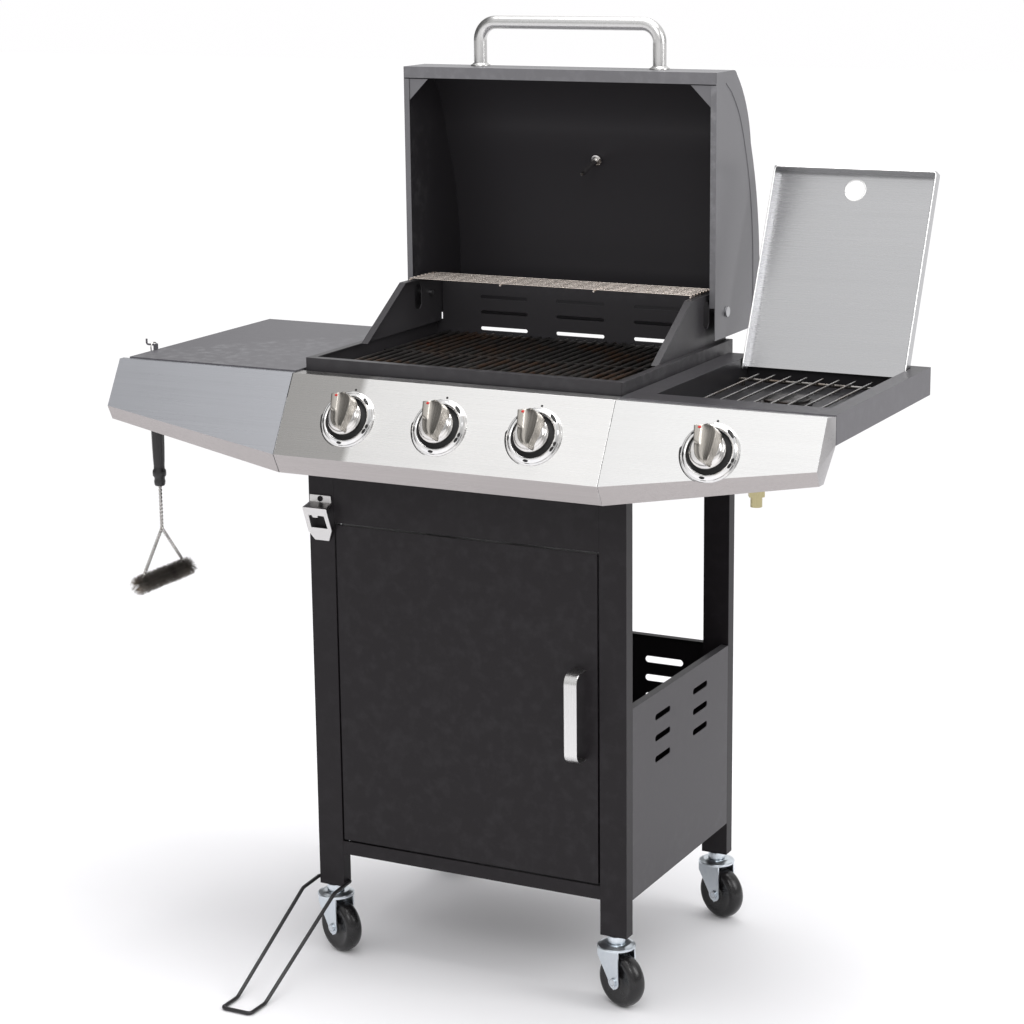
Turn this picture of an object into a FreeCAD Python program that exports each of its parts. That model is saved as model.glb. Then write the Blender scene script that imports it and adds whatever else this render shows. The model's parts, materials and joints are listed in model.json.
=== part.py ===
import FreeCAD, Part
import Sketcher
import math
import os

# Gas barbecue grill on a cart: three main burners under a hinged hood, a side
# burner with its own lid, a side shelf, a cabinet with a door, four casters.
# Millimetres. +X to the right seen from the front, the front faces -Y, +Z up.
# The cart's own frame has y = 0 at the front of the front legs; every
# sub-part's Placement shifts it by -y_mid so that the origin is at floor level
# under the middle of the whole grill.

V = FreeCAD.Vector
Rot = FreeCAD.Rotation
Pl = FreeCAD.Placement
doc = FreeCAD.newDocument("GasGrill")
sheet = doc.addObject("Spreadsheet::Sheet", "Dims")


class Q:
    """A number together with the sheet expression that gives it."""

    def __init__(self, value, text):
        self.v = float(value)
        self.t = text

    def _op(self, other, op, swap=False):
        ov = other.v if isinstance(other, Q) else float(other)
        ot = other.t if isinstance(other, Q) else repr(float(other))
        a, b, ta, tb = (ov, self.v, ot, self.t) if swap else (self.v, ov, self.t, ot)
        if op == "+":
            r = a + b
        elif op == "-":
            r = a - b
        elif op == "*":
            r = a * b
        else:
            r = a / b
        return Q(r, "(%s %s %s)" % (ta, op, tb))

    def __add__(self, o): return self._op(o, "+")
    def __radd__(self, o): return self._op(o, "+", True)
    def __sub__(self, o): return self._op(o, "-")
    def __rsub__(self, o): return self._op(o, "-", True)
    def __mul__(self, o): return self._op(o, "*")
    def __rmul__(self, o): return self._op(o, "*", True)
    def __truediv__(self, o): return self._op(o, "/")
    def __neg__(self): return Q(-self.v, "(0 - %s)" % self.t)


def num(q):
    return q.v if isinstance(q, Q) else float(q)


rows = [0]


def dim(alias, value):
    rows[0] += 1
    sheet.set("A%d" % rows[0], alias)
    sheet.set("B%d" % rows[0], repr(float(value)))
    sheet.setAlias("B%d" % rows[0], alias)
    return Q(value, "Dims." + alias)


# ---------------------------------------------------------------- dimensions
y_mid = dim("y_mid", 109.4)
cart_w = dim("cart_w", 514.0)
cart_d = dim("cart_d", 395.0)
leg_w = dim("leg_w", 42.0)
leg_t = dim("leg_t", 21.0)
leg_wall = dim("leg_wall", 1.5)
leg_bot = dim("leg_bot", 105.0)
leg_top = dim("leg_top", 788.0)
sheet_t = dim("sheet_t", 1.2)
shelf_z = dim("shelf_z", 160.0)
rail_top = dim("rail_top", 179.3)
panel_bot = dim("panel_bot", 157.5)
panel_top = dim("panel_top", 446.0)
door_top = dim("door_top", 671.6)
door_bot = dim("door_bot", 182.2)
door_gap = dim("door_gap", 3.0)
door_depth = dim("door_depth", 15.0)
door_pin_x = dim("door_pin_x", 206.0)
door_pin_y = dim("door_pin_y", 6.0)
door_pin_rad = dim("door_pin_rad", 2.5)
fit_gap = dim("fit_gap", 0.08)
wheel_rad = dim("wheel_rad", 40.0)
wheel_w = dim("wheel_w", 28.0)
wheel_trail = dim("wheel_trail", 12.0)
axle_rad = dim("axle_rad", 4.0)
axle_gap = dim("axle_gap", 0.05)
caster_turn = dim("caster_turn", -22.7)
fascia_y = dim("fascia_y", -34.0)
deck_z = dim("deck_z", 902.6)
face_y = dim("face_y", -94.0)
face_z = dim("face_z", 792.0)
lip_y = dim("lip_y", -79.0)
lip_z = dim("lip_z", 762.5)
seam_x = dim("seam_x", 257.0)
end_x = dim("end_x", 561.0)
knob_tilt = dim("knob_tilt", 61.08)
knob_pitch = dim("knob_pitch", 148.0)
side_knob_x = dim("side_knob_x", 409.0)
knob_face_y = dim("knob_face_y", -64.17)
knob_face_z = dim("knob_face_z", 846.0)
knob_rad = dim("knob_rad", 26.0)
knob_len = dim("knob_len", 33.0)
pointer_turn = dim("pointer_turn", 10.0)
bezel_rad = dim("bezel_rad", 42.0)
box_w = dim("box_w", 506.0)
box_front = dim("box_front", -3.0)
box_back = dim("box_back", 390.0)
box_bot = dim("box_bot", 792.0)
box_top = dim("box_top", 918.6)
box_t = dim("box_t", 1.5)
wing_x = dim("wing_x", 243.0)
wing_top = dim("wing_top", 994.0)
grate_top = dim("grate_top", 903.5)
rod_rad = dim("rod_rad", 2.75)
rod_pitch = dim("rod_pitch", 16.0)
rack_z = dim("rack_z", 997.0)
hinge_y = dim("hinge_y", 352.0)
hinge_z = dim("hinge_z", 966.0)
hinge_pin_rad = dim("hinge_pin_rad", 4.0)
hood_w = dim("hood_w", 516.0)
hood_face_y = dim("hood_face_y", 310.0)
hood_top = dim("hood_top", 1317.5)
hood_bot = dim("hood_bot", 928.0)
hood_t = dim("hood_t", 1.2)
hood_rise_y = dim("hood_rise_y", 355.0)
handle_rad = dim("handle_rad", 10.0)
handle_span = dim("handle_span", 297.0)
handle_z = dim("handle_z", 1383.0)
tray_l = dim("tray_l", 258.0)
tray_r = dim("tray_r", 570.0)
tray_f = dim("tray_f", -24.0)
tray_b = dim("tray_b", 366.0)
tray_bot = dim("tray_bot", 862.0)
well_l = dim("well_l", 294.0)
well_r = dim("well_r", 546.0)
well_f = dim("well_f", 20.0)
well_b = dim("well_b", 349.5)
well_z = dim("well_z", 867.2)
lid_pin_y = dim("lid_pin_y", 330.0)
lid_pin_z = dim("lid_pin_z", 890.0)
lid_open = dim("lid_open", 113.5)
shelf_l = dim("shelf_l", -550.0)
burner_z = dim("burner_z", 829.0)
burner_rad = dim("burner_rad", 15.0)
brush_x = dim("brush_x", -554.0)
brush_y = dim("brush_y", 45.0)
stay_rad = dim("stay_rad", 2.25)
doc.recompute()

T = sheet_t
HW = cart_w / 2.0
NODES = []
count = [0]


# ------------------------------------------------------------------- helpers
def uid(stem):
    count[0] += 1
    return "%s_%d" % (stem, count[0])


def bind(obj, prop, q):
    if isinstance(q, Q):
        obj.setExpression(prop, q.t)


def node(obj, label):
    obj.Label = label
    obj.setExpression("Placement.Base.y", "0 - Dims.y_mid")
    NODES.append(obj)
    return obj


def place(obj, x, y, z, rotation=None):
    obj.Placement = Pl(V(num(x), num(y), num(z)), rotation or Rot())
    bind(obj, "Placement.Base.x", x)
    bind(obj, "Placement.Base.y", y)
    bind(obj, "Placement.Base.z", z)


def box(x0, y0, z0, x1, y1, z1):
    b = doc.addObject("Part::Box", uid("box"))
    for prop, lo, hi in (("Length", x0, x1), ("Width", y0, y1), ("Height", z0, z1)):
        size = hi - lo
        setattr(b, prop, num(size))
        bind(b, prop, size)
    place(b, x0, y0, z0)
    return b


AXROT = {"z": Rot(), "x": Rot(V(0, 1, 0), 90), "y": Rot(V(1, 0, 0), -90)}


def cyl(axis, x, y, z, r, length):
    """A cylinder that starts at (x, y, z) and runs along +axis."""
    c = doc.addObject("Part::Cylinder", uid("cyl"))
    c.Radius = num(r)
    c.Height = num(length)
    bind(c, "Radius", r)
    bind(c, "Height", length)
    place(c, x, y, z, AXROT[axis])
    return c


def cone(axis, x, y, z, r1, r2, length):
    c = doc.addObject("Part::Cone", uid("cone"))
    c.Radius1 = num(r1)
    c.Radius2 = num(r2)
    c.Height = num(length)
    bind(c, "Radius1", r1)
    bind(c, "Radius2", r2)
    bind(c, "Height", length)
    place(c, x, y, z, AXROT[axis])
    return c


def fuse(*parts):
    parts = list(parts)
    if len(parts) == 1:
        return parts[0]
    f = doc.addObject("Part::MultiFuse", uid("fuse"))
    f.Shapes = parts
    f.Refine = True
    return f


def cut(base, *tools):
    c = doc.addObject("Part::Cut", uid("cut"))
    c.Base = base
    c.Tool = fuse(*tools) if len(tools) > 1 else tools[0]
    return c


def group(*parts):
    g = doc.addObject("Part::Compound", uid("group"))
    g.Links = list(parts)
    return g


def baked(shape):
    """The same shape with its own placement written into the geometry."""
    m = shape.Placement.toMatrix()
    s = shape.copy()
    s.Placement = Pl()
    return s.transformed(m, copy=True)


def feature(shape, label=None):
    f = doc.addObject("Part::Feature", uid("shape"))
    f.Shape = baked(shape)
    if label:
        node(f, label)
    return f


def origin_plane(body, role):
    for f in body.Origin.OriginFeatures:
        if f.Role == role:
            return f


def new_body(stem):
    return doc.addObject("PartDesign::Body", uid(stem))


def new_sketch(body, role, off):
    s = body.newObject("Sketcher::SketchObject", uid("sketch"))
    s.AttachmentSupport = [(origin_plane(body, role), "")]
    s.MapMode = "FlatFace"
    s.AttachmentOffset = Pl(V(0, 0, num(off)), Rot())
    bind(s, "AttachmentOffset.Base.z", off)
    return s


def add_poly(sk, pts):
    """A closed polygon whose every corner is held by the sheet's numbers."""
    first = sk.GeometryCount
    n = len(pts)
    for i in range(n):
        a, b = pts[i], pts[(i + 1) % n]
        sk.addGeometry(Part.LineSegment(V(num(a[0]), num(a[1]), 0), V(num(b[0]), num(b[1]), 0)), False)
    for i in range(n):
        sk.addConstraint(Sketcher.Constraint("Coincident", first + i, 2, first + (i + 1) % n, 1))
    for i in range(n):
        for k, kind in ((0, "DistanceX"), (1, "DistanceY")):
            c = sk.addConstraint(Sketcher.Constraint(kind, -1, 1, first + i, 1, num(pts[i][k])))
            if isinstance(pts[i][k], Q):
                sk.setExpression("Constraints[%d]" % c, pts[i][k].t)


def add_circle(sk, x, y, r):
    g = sk.addGeometry(Part.Circle(V(num(x), num(y), 0), V(0, 0, 1), num(r)), False)
    for kind, args, q in (("DistanceX", (-1, 1, g, 3), x), ("DistanceY", (-1, 1, g, 3), y)):
        c = sk.addConstraint(Sketcher.Constraint(kind, *args, num(q)))
        if isinstance(q, Q):
            sk.setExpression("Constraints[%d]" % c, q.t)
    c = sk.addConstraint(Sketcher.Constraint("Radius", g, num(r)))
    if isinstance(r, Q):
        sk.setExpression("Constraints[%d]" % c, r.t)


def add_slot(sk, cx, cy, length, width):
    """A round-ended slot along the sketch's x axis."""
    r = width / 2.0
    h = length / 2.0 - r
    geo = [Part.LineSegment(V(cx - h, cy - r, 0), V(cx + h, cy - r, 0)),
           Part.ArcOfCircle(Part.Circle(V(cx + h, cy, 0), V(0, 0, 1), r), -math.pi / 2, math.pi / 2),
           Part.LineSegment(V(cx + h, cy + r, 0), V(cx - h, cy + r, 0)),
           Part.ArcOfCircle(Part.Circle(V(cx - h, cy, 0), V(0, 0, 1), r), math.pi / 2, 3 * math.pi / 2)]
    for g in geo:
        i = sk.addGeometry(g, False)
        sk.addConstraint(Sketcher.Constraint("Block", i))


def prism(role, lo, hi, pts, circles=(), slots=(), holes=()):
    """A padded sketch between two planes. On XZ the pad runs towards -Y."""
    body = new_body("body")
    start = -hi if role == "XZ_Plane" else lo
    sk = new_sketch(body, role, start)
    add_poly(sk, pts)
    for h in holes:
        add_poly(sk, h)
    for c in circles:
        add_circle(sk, *c)
    for s in slots:
        add_slot(sk, *s)
    pad = body.newObject("PartDesign::Pad", uid("pad"))
    pad.Profile = sk
    size = hi - lo
    pad.Length = num(size)
    bind(pad, "Length", size)
    return body


def revolve(profile, label=None):
    """A turned piece about the local Z axis; profile is (radius, height)."""
    body = new_body("turned")
    sk = new_sketch(body, "XZ_Plane", 0.0)
    add_poly(sk, profile)
    rev = body.newObject("PartDesign::Revolution", uid("revolution"))
    rev.Profile = sk
    rev.ReferenceAxis = (sk, ["V_Axis"])
    rev.Angle = 360.0
    return body


def rounded_path(pts, bend):
    """Straight runs joined by tangent arcs of radius bend (one, or one per corner)."""
    p = [V(num(a), num(b), num(c)) for a, b, c in pts]
    edges = []
    start = p[0]
    for i in range(1, len(p) - 1):
        r = bend[i - 1] if isinstance(bend, (list, tuple)) else bend
        u = (p[i - 1] - p[i]).normalize()
        w = (p[i + 1] - p[i]).normalize()
        ang = math.acos(max(-1.0, min(1.0, u.dot(w))))
        cutback = r / math.tan(ang / 2.0)
        a = p[i] + u * cutback
        b = p[i] + w * cutback
        bis = (u + w).normalize()
        mid = p[i] + bis * (r / math.sin(ang / 2.0) - r)
        edges.append(Part.LineSegment(start, a).toShape())
        edges.append(Part.Arc(a, mid, b).toShape())
        start = b
    edges.append(Part.LineSegment(start, p[-1]).toShape())
    return Part.Wire(edges)


def tube(pts, r, bend):
    path = rounded_path(pts, bend)
    p0 = V(*[num(q) for q in pts[0]])
    p1 = V(*[num(q) for q in pts[1]])
    ring = Part.Wire(Part.makeCircle(num(r), p0, p1 - p0))
    return path.makePipeShell([ring], True, False)


def strip_profile(path, t, side=1.0):
    """Closed outline of a bent sheet: path, then the same path offset by t."""
    n = [(num(a), num(b)) for a, b in path]
    out = []
    for i in range(len(n)):
        dirs = []
        if i > 0:
            dx, dy = n[i][0] - n[i - 1][0], n[i][1] - n[i - 1][1]
            l = math.hypot(dx, dy)
            dirs.append((dx / l, dy / l))
        if i < len(n) - 1:
            dx, dy = n[i + 1][0] - n[i][0], n[i + 1][1] - n[i][1]
            l = math.hypot(dx, dy)
            dirs.append((dx / l, dy / l))
        nx = [(-d[1] * side, d[0] * side) for d in dirs]
        if len(nx) == 1:
            off = (nx[0][0] * t, nx[0][1] * t)
        else:
            bx, by = nx[0][0] + nx[1][0], nx[0][1] + nx[1][1]
            k = t / (1.0 + nx[0][0] * nx[1][0] + nx[0][1] * nx[1][1])
            off = (bx * k, by * k)
        out.append((path[i][0] + off[0], path[i][1] + off[1]))
    return list(path) + out[::-1]


def mirror_x(obj):
    m = doc.addObject("Part::Mirroring", uid("mirror"))
    m.Source = obj
    m.Base = V(0, 0, 0)
    m.Normal = V(1, 0, 0)
    return m


# ---------------------------------------------------------------------- legs
# Rectangular steel tube, closed at the foot by a plate with the caster's hole.
def leg(x0, y0, label, extra=()):
    outer = box(x0, y0, leg_bot, x0 + leg_w, y0 + leg_t, leg_top)
    inner = box(x0 + leg_wall, y0 + leg_wall, leg_bot + 3.0, x0 + leg_w - leg_wall, y0 + leg_t - leg_wall, leg_top + 1.0)
    hole = cyl("z", x0 + leg_w / 2.0, y0 + leg_t / 2.0, leg_bot - 1.0, 5.3, 6.0)
    return node(cut(outer, inner, hole, *extra), label)


stay_hole = cyl("x", -HW - 2.0, leg_t / 2.0, leg_bot + 7.0, stay_rad + fit_gap, leg_w + 4.0)
leg(-HW, 0.0 * leg_t, "leg_front_left", (stay_hole,))
leg(HW - leg_w, 0.0 * leg_t, "leg_front_right")
leg(-HW, cart_d - leg_t, "leg_rear_left")
leg(HW - leg_w, cart_d - leg_t, "leg_rear_right")

# -------------------------------------------------------------- bottom shelf
# A pressed tray: plate, front and rear upturned lips between the legs.
inner_x = HW - leg_w
plate = box(-(HW - T - 0.3), leg_t + 0.3, shelf_z, HW - T - 0.3, cart_d - leg_t - 0.3, shelf_z + T)
tongue_f = box(-inner_x, 0.0 * T, shelf_z, inner_x, leg_t + 0.4, shelf_z + T)
lip_f = box(-inner_x, 0.0 * T, panel_bot + 1.1, inner_x, T, rail_top)
tongue_b = box(-inner_x, cart_d - leg_t - 0.4, shelf_z, inner_x, cart_d - T - 0.2, shelf_z + T)
node(fuse(plate, tongue_f, lip_f, tongue_b), "bottom_shelf")

# --------------------------------------------------------------- front apron
apron = prism("YZ_Plane", -inner_x, inner_x,
              strip_profile([(0.0 * T, 786.0 + 0.0 * T), (0.0 * T, door_top + door_gap), (door_depth, door_top + door_gap)], 1.2, 1.0))
node(apron, "front_apron")

# --------------------------------------------------------------- side panels
slot_y = (127.0, 265.0)
slot_z = (409.3, 377.3, 345.3)


def side_panel(x_lo, label):
    sk_pts = [(leg_t + 0.2, panel_bot), (cart_d - leg_t - 0.2, panel_bot), (cart_d - leg_t - 0.2, panel_top), (leg_t + 0.2, panel_top)]
    return prism("YZ_Plane", x_lo, x_lo + T, sk_pts, slots=[(y, z, 54.0, 9.5) for y in slot_y for z in slot_z])


def side_flange(x0, x1):
    return box(x0, leg_t + 0.2, panel_top - T, x1, cart_d - leg_t - 0.2, panel_top)


node(fuse(side_panel(-HW, "l"), side_flange(-HW, -HW + 12.0)), "side_panel_left")
node(fuse(side_panel(HW - T, "r"), side_flange(HW - 12.0, HW)), "side_panel_right")

# ---------------------------------------------------------------- back panel
back_pts = [(-inner_x, panel_bot), (inner_x, panel_bot), (inner_x, panel_top - 3.0), (-inner_x, panel_top - 3.0)]
back = prism("XZ_Plane", cart_d - T, cart_d, back_pts, slots=[(x, z, 64.0, 10.5) for x in (-141.0, 141.0) for z in (401.0, 371.0, 341.0)])
back_flange = box(-inner_x, cart_d - 12.0, panel_top - 3.0 - T, inner_x, cart_d, panel_top - 3.0)
node(fuse(back, back_flange), "back_panel")

# --------------------------------------------------------------- frame rails
# Two box rails tie the front legs to the rear legs; two angle runners hang
# under the firebox and carry the grease tray.
def rail(x0):
    o = box(x0, leg_t, leg_top - 38.0, x0 + 21.0, cart_d - leg_t, leg_top)
    i = box(x0 + leg_wall, leg_t - 1.0, leg_top - 36.5, x0 + 21.0 - leg_wall, cart_d - leg_t + 1.0, leg_top - 1.5)
    return cut(o, i)


def runner(sign):
    x0, x1 = (213.2, 214.4) if sign > 0 else (-214.4, -213.2)
    f0, f1 = (203.0, 214.4) if sign > 0 else (-214.4, -203.0)
    a = box(x0 + 0.0 * T, 24.0 + 0.0 * T, 758.8 + 0.0 * T, x1 + 0.0 * T, 372.0 + 0.0 * T, box_bot)
    b = box(f0 + 0.0 * T, 24.0 + 0.0 * T, 758.8 + 0.0 * T, f1 + 0.0 * T, 372.0 + 0.0 * T, 760.0 + 0.0 * T)
    return fuse(a, b)


node(group(rail(-HW), rail(HW - 21.0), runner(-1), runner(1)), "frame_rails")

# ---------------------------------------------------------------------- door
dx = inner_x - door_gap
d_out = box(-dx, 0.0 * T, door_bot, dx, door_depth, door_top)
d_in = box(-dx + T, T, door_bot + T, dx - T, door_depth + 1.0, door_top - T)
pin_holes = [cyl("z", -door_pin_x, door_pin_y, door_top - 3.0, door_pin_rad + fit_gap, 5.0),
             cyl("z", -door_pin_x, door_pin_y, door_bot - 1.0, door_pin_rad + fit_gap, 5.0)]
node(cut(d_out, d_in, *pin_holes), "door")

# The pull: a bent flat strap standing off the door near its free edge.
pull_z0 = dim("pull_bottom_z", 367.0)
pull_z1 = dim("pull_top_z", 502.0)
pull_d = dim("pull_stand_off", 32.0)
pull_r = 11.0
arcs = [(pull_r * (1.0 - math.sin(math.radians(a))), pull_r * (1.0 - math.cos(math.radians(a)))) for a in (0.0, 15.0, 30.0, 45.0, 60.0, 75.0, 90.0)]
strap = [(0.0 * T, pull_z0)] + [(-1.0 * pull_d + a, pull_z0 + b) for a, b in arcs] + [(-1.0 * pull_d + a, pull_z1 - b) for a, b in arcs[::-1]] + [(0.0 * T, pull_z1)]
strap = strip_profile(strap, 2.5, -1.0)
node(prism("YZ_Plane", 174.0 + 0.0 * T, 194.0 + 0.0 * T, strap), "door_handle")

# ---------------------------------------------------------------- hinge pins
def headed_pin(axis, x, y, z, r, length, head_r, head_h, head_at_end):
    p = cyl(axis, x, y, z, r, length)
    if axis == "x":
        hx = x + length if head_at_end else x - head_h
        h = cyl(axis, hx, y, z, head_r, head_h)
    else:
        h = cyl(axis, x, y, z + length if head_at_end else z - head_h, head_r, head_h)
    return fuse(p, h)


hood_half = hood_w / 2.0
pins = [
    cyl("z", -door_pin_x, door_pin_y, door_top - 12.0, door_pin_rad, 12.0 + door_gap),
    cyl("z", -door_pin_x, door_pin_y, shelf_z + T, door_pin_rad, door_bot - shelf_z - T + 10.0),
    headed_pin("x", wing_x - 6.0, hinge_y, hinge_z, hinge_pin_rad, hood_half - wing_x + 6.4, 7.5, 3.0, True),
    headed_pin("x", -hood_half - 0.4, hinge_y, hinge_z, hinge_pin_rad, hood_half - wing_x + 6.4, 7.5, 3.0, False),
    cyl("x", well_l - 3.5, lid_pin_y, lid_pin_z, 3.0 + 0.0 * T, 10.0 + 0.0 * T),
    cyl("x", well_r - 6.5, lid_pin_y, lid_pin_z, 3.0 + 0.0 * T, 10.0 + 0.0 * T),
]
node(group(*pins), "hinge_pins")

# ------------------------------------------------------------------- casters
# Each: a fixed stem with a bearing hat, a swivelling fork and a wheel whose
# axle sits behind the swivel axis by the trail.
stem_x = HW - leg_w / 2.0
stem_y = (leg_t / 2.0, cart_d - leg_t / 2.0)
CAST = {"front_left": (-stem_x, stem_y[0]), "front_right": (stem_x, stem_y[0]),
        "rear_left": (-stem_x, stem_y[1]), "rear_right": (stem_x, stem_y[1])}
stems = []
for key in ("front_left", "front_right", "rear_left", "rear_right"):
    cx, cy = CAST[key]
    s = fuse(cyl("z", cx, cy, 84.0 + 0.0 * T, 5.0 + 0.0 * T, 44.0 + 0.0 * T), cyl("z", cx, cy, 82.0 + 0.0 * T, 8.5 + 0.0 * T, 3.0 + 0.0 * T),
             cyl("z", cx, cy, 94.5 + 0.0 * T, 13.0 + 0.0 * T, leg_bot - 94.5))
    stems.append(s)
node(group(*stems), "caster_stems")

gap_in = wheel_w / 2.0 + 1.6
z_axle = wheel_rad


def fork_shape():
    """Stamped fork about the swivel axis at x = y = 0; wheel towards +x."""
    w = num(gap_in)
    t = 2.0
    tr = num(wheel_trail)
    za = num(z_axle)
    disc = Part.makeCylinder(28.0, 2.4, V(0, 0, 87.6))
    disc = disc.fuse(Part.makeCone(25.0, 19.0, 4.0, V(0, 0, 90.0)))
    disc = disc.cut(Part.makeCone(22.5, 17.0, 3.9, V(0, 0, 87.6)))
    plates = []
    for s in (1, -1):
        y0 = w if s > 0 else -w - t
        pts = [V(-22, y0, 88.5), V(21, y0, 88.5), V(tr + 10.5, y0, za - 1.0), V(tr, y0, za - 12.5), V(tr - 9.5, y0, za - 2.0), V(-22.0, y0, 73.0)]
        wire = Part.makePolygon(pts + [pts[0]])
        face = Part.Face(wire)
        pl = face.extrude(V(0, t, 0))
        pl = pl.fuse(Part.makeCylinder(11.0, t, V(tr, y0, za), V(0, 1, 0)))
        plates.append(pl)
    body = disc.fuse(plates)
    body = body.cut(Part.makeCylinder(5.08, 20.0, V(0, 0, 81.0)))
    return body.removeSplitter()


def axle_shape():
    w = num(gap_in)
    tr = num(wheel_trail)
    za = num(z_axle)
    a = Part.makeCylinder(num(axle_rad), 2 * (w + 2.0), V(tr, -w - 2.0, za), V(0, 1, 0))
    h1 = Part.makeCylinder(6.2, 3.0, V(tr, w + 2.0, za), V(0, 1, 0))
    h2 = Part.makeCylinder(6.2, 3.0, V(tr, -w - 5.0, za), V(0, 1, 0))
    return a.fuse([h1, h2]).removeSplitter()


def wheel_shape():
    """Moulded wheel with a crowned tread, hub bosses and dished sides."""
    hw = num(wheel_w) / 2.0
    R = num(wheel_rad)
    br = num(axle_rad) + num(axle_gap)
    pts = [(br, -hw), (11.0, -hw), (12.5, -hw + 3.5), (26.5, -hw + 3.5), (29.0, -hw + 0.5), (33.5, -hw + 0.6), (37.6, -hw + 3.6), (39.4, -hw + 8.2), (R, 0.0),
           (39.4, hw - 8.2), (37.6, hw - 3.6), (33.5, hw - 0.6), (29.0, hw - 0.5), (26.5, hw - 3.5), (12.5, hw - 3.5), (11.0, hw), (br, hw)]
    wire = Part.makePolygon([V(r, h, 0) for r, h in pts] + [V(pts[0][0], pts[0][1], 0)])
    solid = Part.Face(wire).revolve(V(0, 0, 0), V(0, 1, 0), 360)
    solid.translate(V(num(wheel_trail), 0, num(z_axle)))
    return solid


turn = Rot(V(0, 0, 1), num(caster_turn))
for key in ("front_left", "front_right", "rear_left", "rear_right"):
    cx, cy = CAST[key]
    both = fork_shape().fuse(axle_shape()).removeSplitter()
    f = feature(both)
    f.Label = "caster_fork_" + key
    f.Placement = Pl(V(num(cx), num(cy) - num(y_mid), 0), turn)
    f.setExpression("Placement.Base.x", cx.t)
    f.setExpression("Placement.Base.y", (cy - y_mid).t)
    NODES.append(f)
    w = feature(wheel_shape())
    w.Label = "caster_wheel_" + key
    w.Placement = Pl(V(num(cx), num(cy) - num(y_mid), 0), turn)
    w.setExpression("Placement.Base.x", cx.t)
    w.setExpression("Placement.Base.y", (cy - y_mid).t)
    NODES.append(w)

# ------------------------------------------------------------ control panels
# One bent sheet: top flange, sloping face, lip, bottom return.
slope = (face_y - fascia_y) / (deck_z - 2.0 - face_z)
top_z = deck_z - 2.0


def fascia_path(flange_y, fy, fz, ly, lz):
    return [(flange_y, top_z), (fascia_y, top_z), (fy, fz), (ly, lz), (ly + 15.0, lz)]


mid_path = fascia_path(-9.0 + 0.0 * T, face_y, face_z, lip_y, lip_z)
panel = prism("YZ_Plane", -seam_x + 0.4, seam_x - 0.4, strip_profile(mid_path, 1.2, 1.0))
knob_n = V(0, -math.sin(math.radians(num(knob_tilt))), math.cos(math.radians(num(knob_tilt))))
KNOB_ROT = Rot(V(1, 0, 0), num(knob_tilt))
KX = {"1": -knob_pitch, "2": 0.0 * knob_pitch, "3": knob_pitch, "4": side_knob_x}


def knob_point(key, d):
    """The point on a knob's axis, d in front of the panel's face."""
    return V(num(KX[key]), num(knob_face_y), num(knob_face_z)) + knob_n * d


def axis_cyl(key, d0, d1, r):
    return Part.makeCylinder(r, d1 - d0, knob_point(key, d0), knob_n)


def tilt_hole(key, r):
    c = doc.addObject("Part::Cylinder", uid("cyl"))
    c.Radius = r
    c.Height = 12.0
    p = knob_point(key, -6.0)
    place(c, KX[key], p.y, p.z, KNOB_ROT)
    return c


node(cut(panel, *[tilt_hole(k, 7.0) for k in ("1", "2", "3")]), "control_panel")


def fascia_section(body, x, flange_y, fy, fz, ly, lz, back=15.0):
    s = new_sketch(body, "YZ_Plane", x)
    path = [(flange_y, top_z), (fascia_y, top_z), (fy, fz), (ly, lz), (ly + back, lz)]
    add_poly(s, strip_profile(path, 1.2, 1.0))
    return s


fz_end = 835.0
fy_end = num(fascia_y) + num(slope) * (num(top_z) - fz_end)
rb = new_body("fascia")
s1 = fascia_section(rb, seam_x + 0.4, -24.0 + 0.0 * T, face_y, face_z, lip_y, lip_z)
s2 = fascia_section(rb, end_x, -24.0 + 0.0 * T, fy_end + 0.0 * T, fz_end + 0.0 * T, -59.5 + 0.0 * T, 813.5 + 0.0 * T)
lf = rb.newObject("PartDesign::AdditiveLoft", uid("loft"))
lf.Profile = s1
lf.Sections = [s2]
lf.Ruled = True
cap_pts = [V(561.0, -34.0, 900.6), V(561.0, fy_end, fz_end), V(561.0, -59.5, 813.5), V(561.0, -44.5, 813.5), V(561.0, -24.0, 862.0), V(561.0, -24.0, 900.6)]
outer_pts = [V(569.5, -24.6, 900.6), V(569.5, -24.8, 863.0), V(569.5, -24.6, 862.0), V(569.5, -24.3, 862.0), V(569.5, -24.1, 862.6), V(569.5, -24.1, 900.6)]


def polyhedron(ring_a, ring_b):
    """A solid between two matching rings of points, sides split in triangles."""
    n = len(ring_a)
    faces = []

    def tri(a, b, c):
        if (b - a).cross(c - a).Length > 1e-6:
            faces.append(Part.Face(Part.makePolygon([a, b, c, a])))
    for ring in (ring_a, ring_b):
        for i in range(1, n - 1):
            tri(ring[0], ring[i], ring[i + 1])
    for i in range(n):
        j = (i + 1) % n
        tri(ring_a[i], ring_a[j], ring_b[j])
        tri(ring_a[i], ring_b[j], ring_b[i])
    sh = Part.makeShell(faces)
    so = Part.makeSolid(sh)
    if so.Volume < 0:
        so.reverse()
    return so


def end_cap(sign):
    a = [V(p.x, p.y, p.z) for p in cap_pts]
    b = [V(p.x, p.y, p.z) for p in outer_pts]
    if sign < 0:
        a = [V(-p.x, p.y, p.z) for p in a]
        b = [V(-(p.x - 7.0), p.y, p.z) for p in b]
    return polyhedron(a, b)


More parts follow.
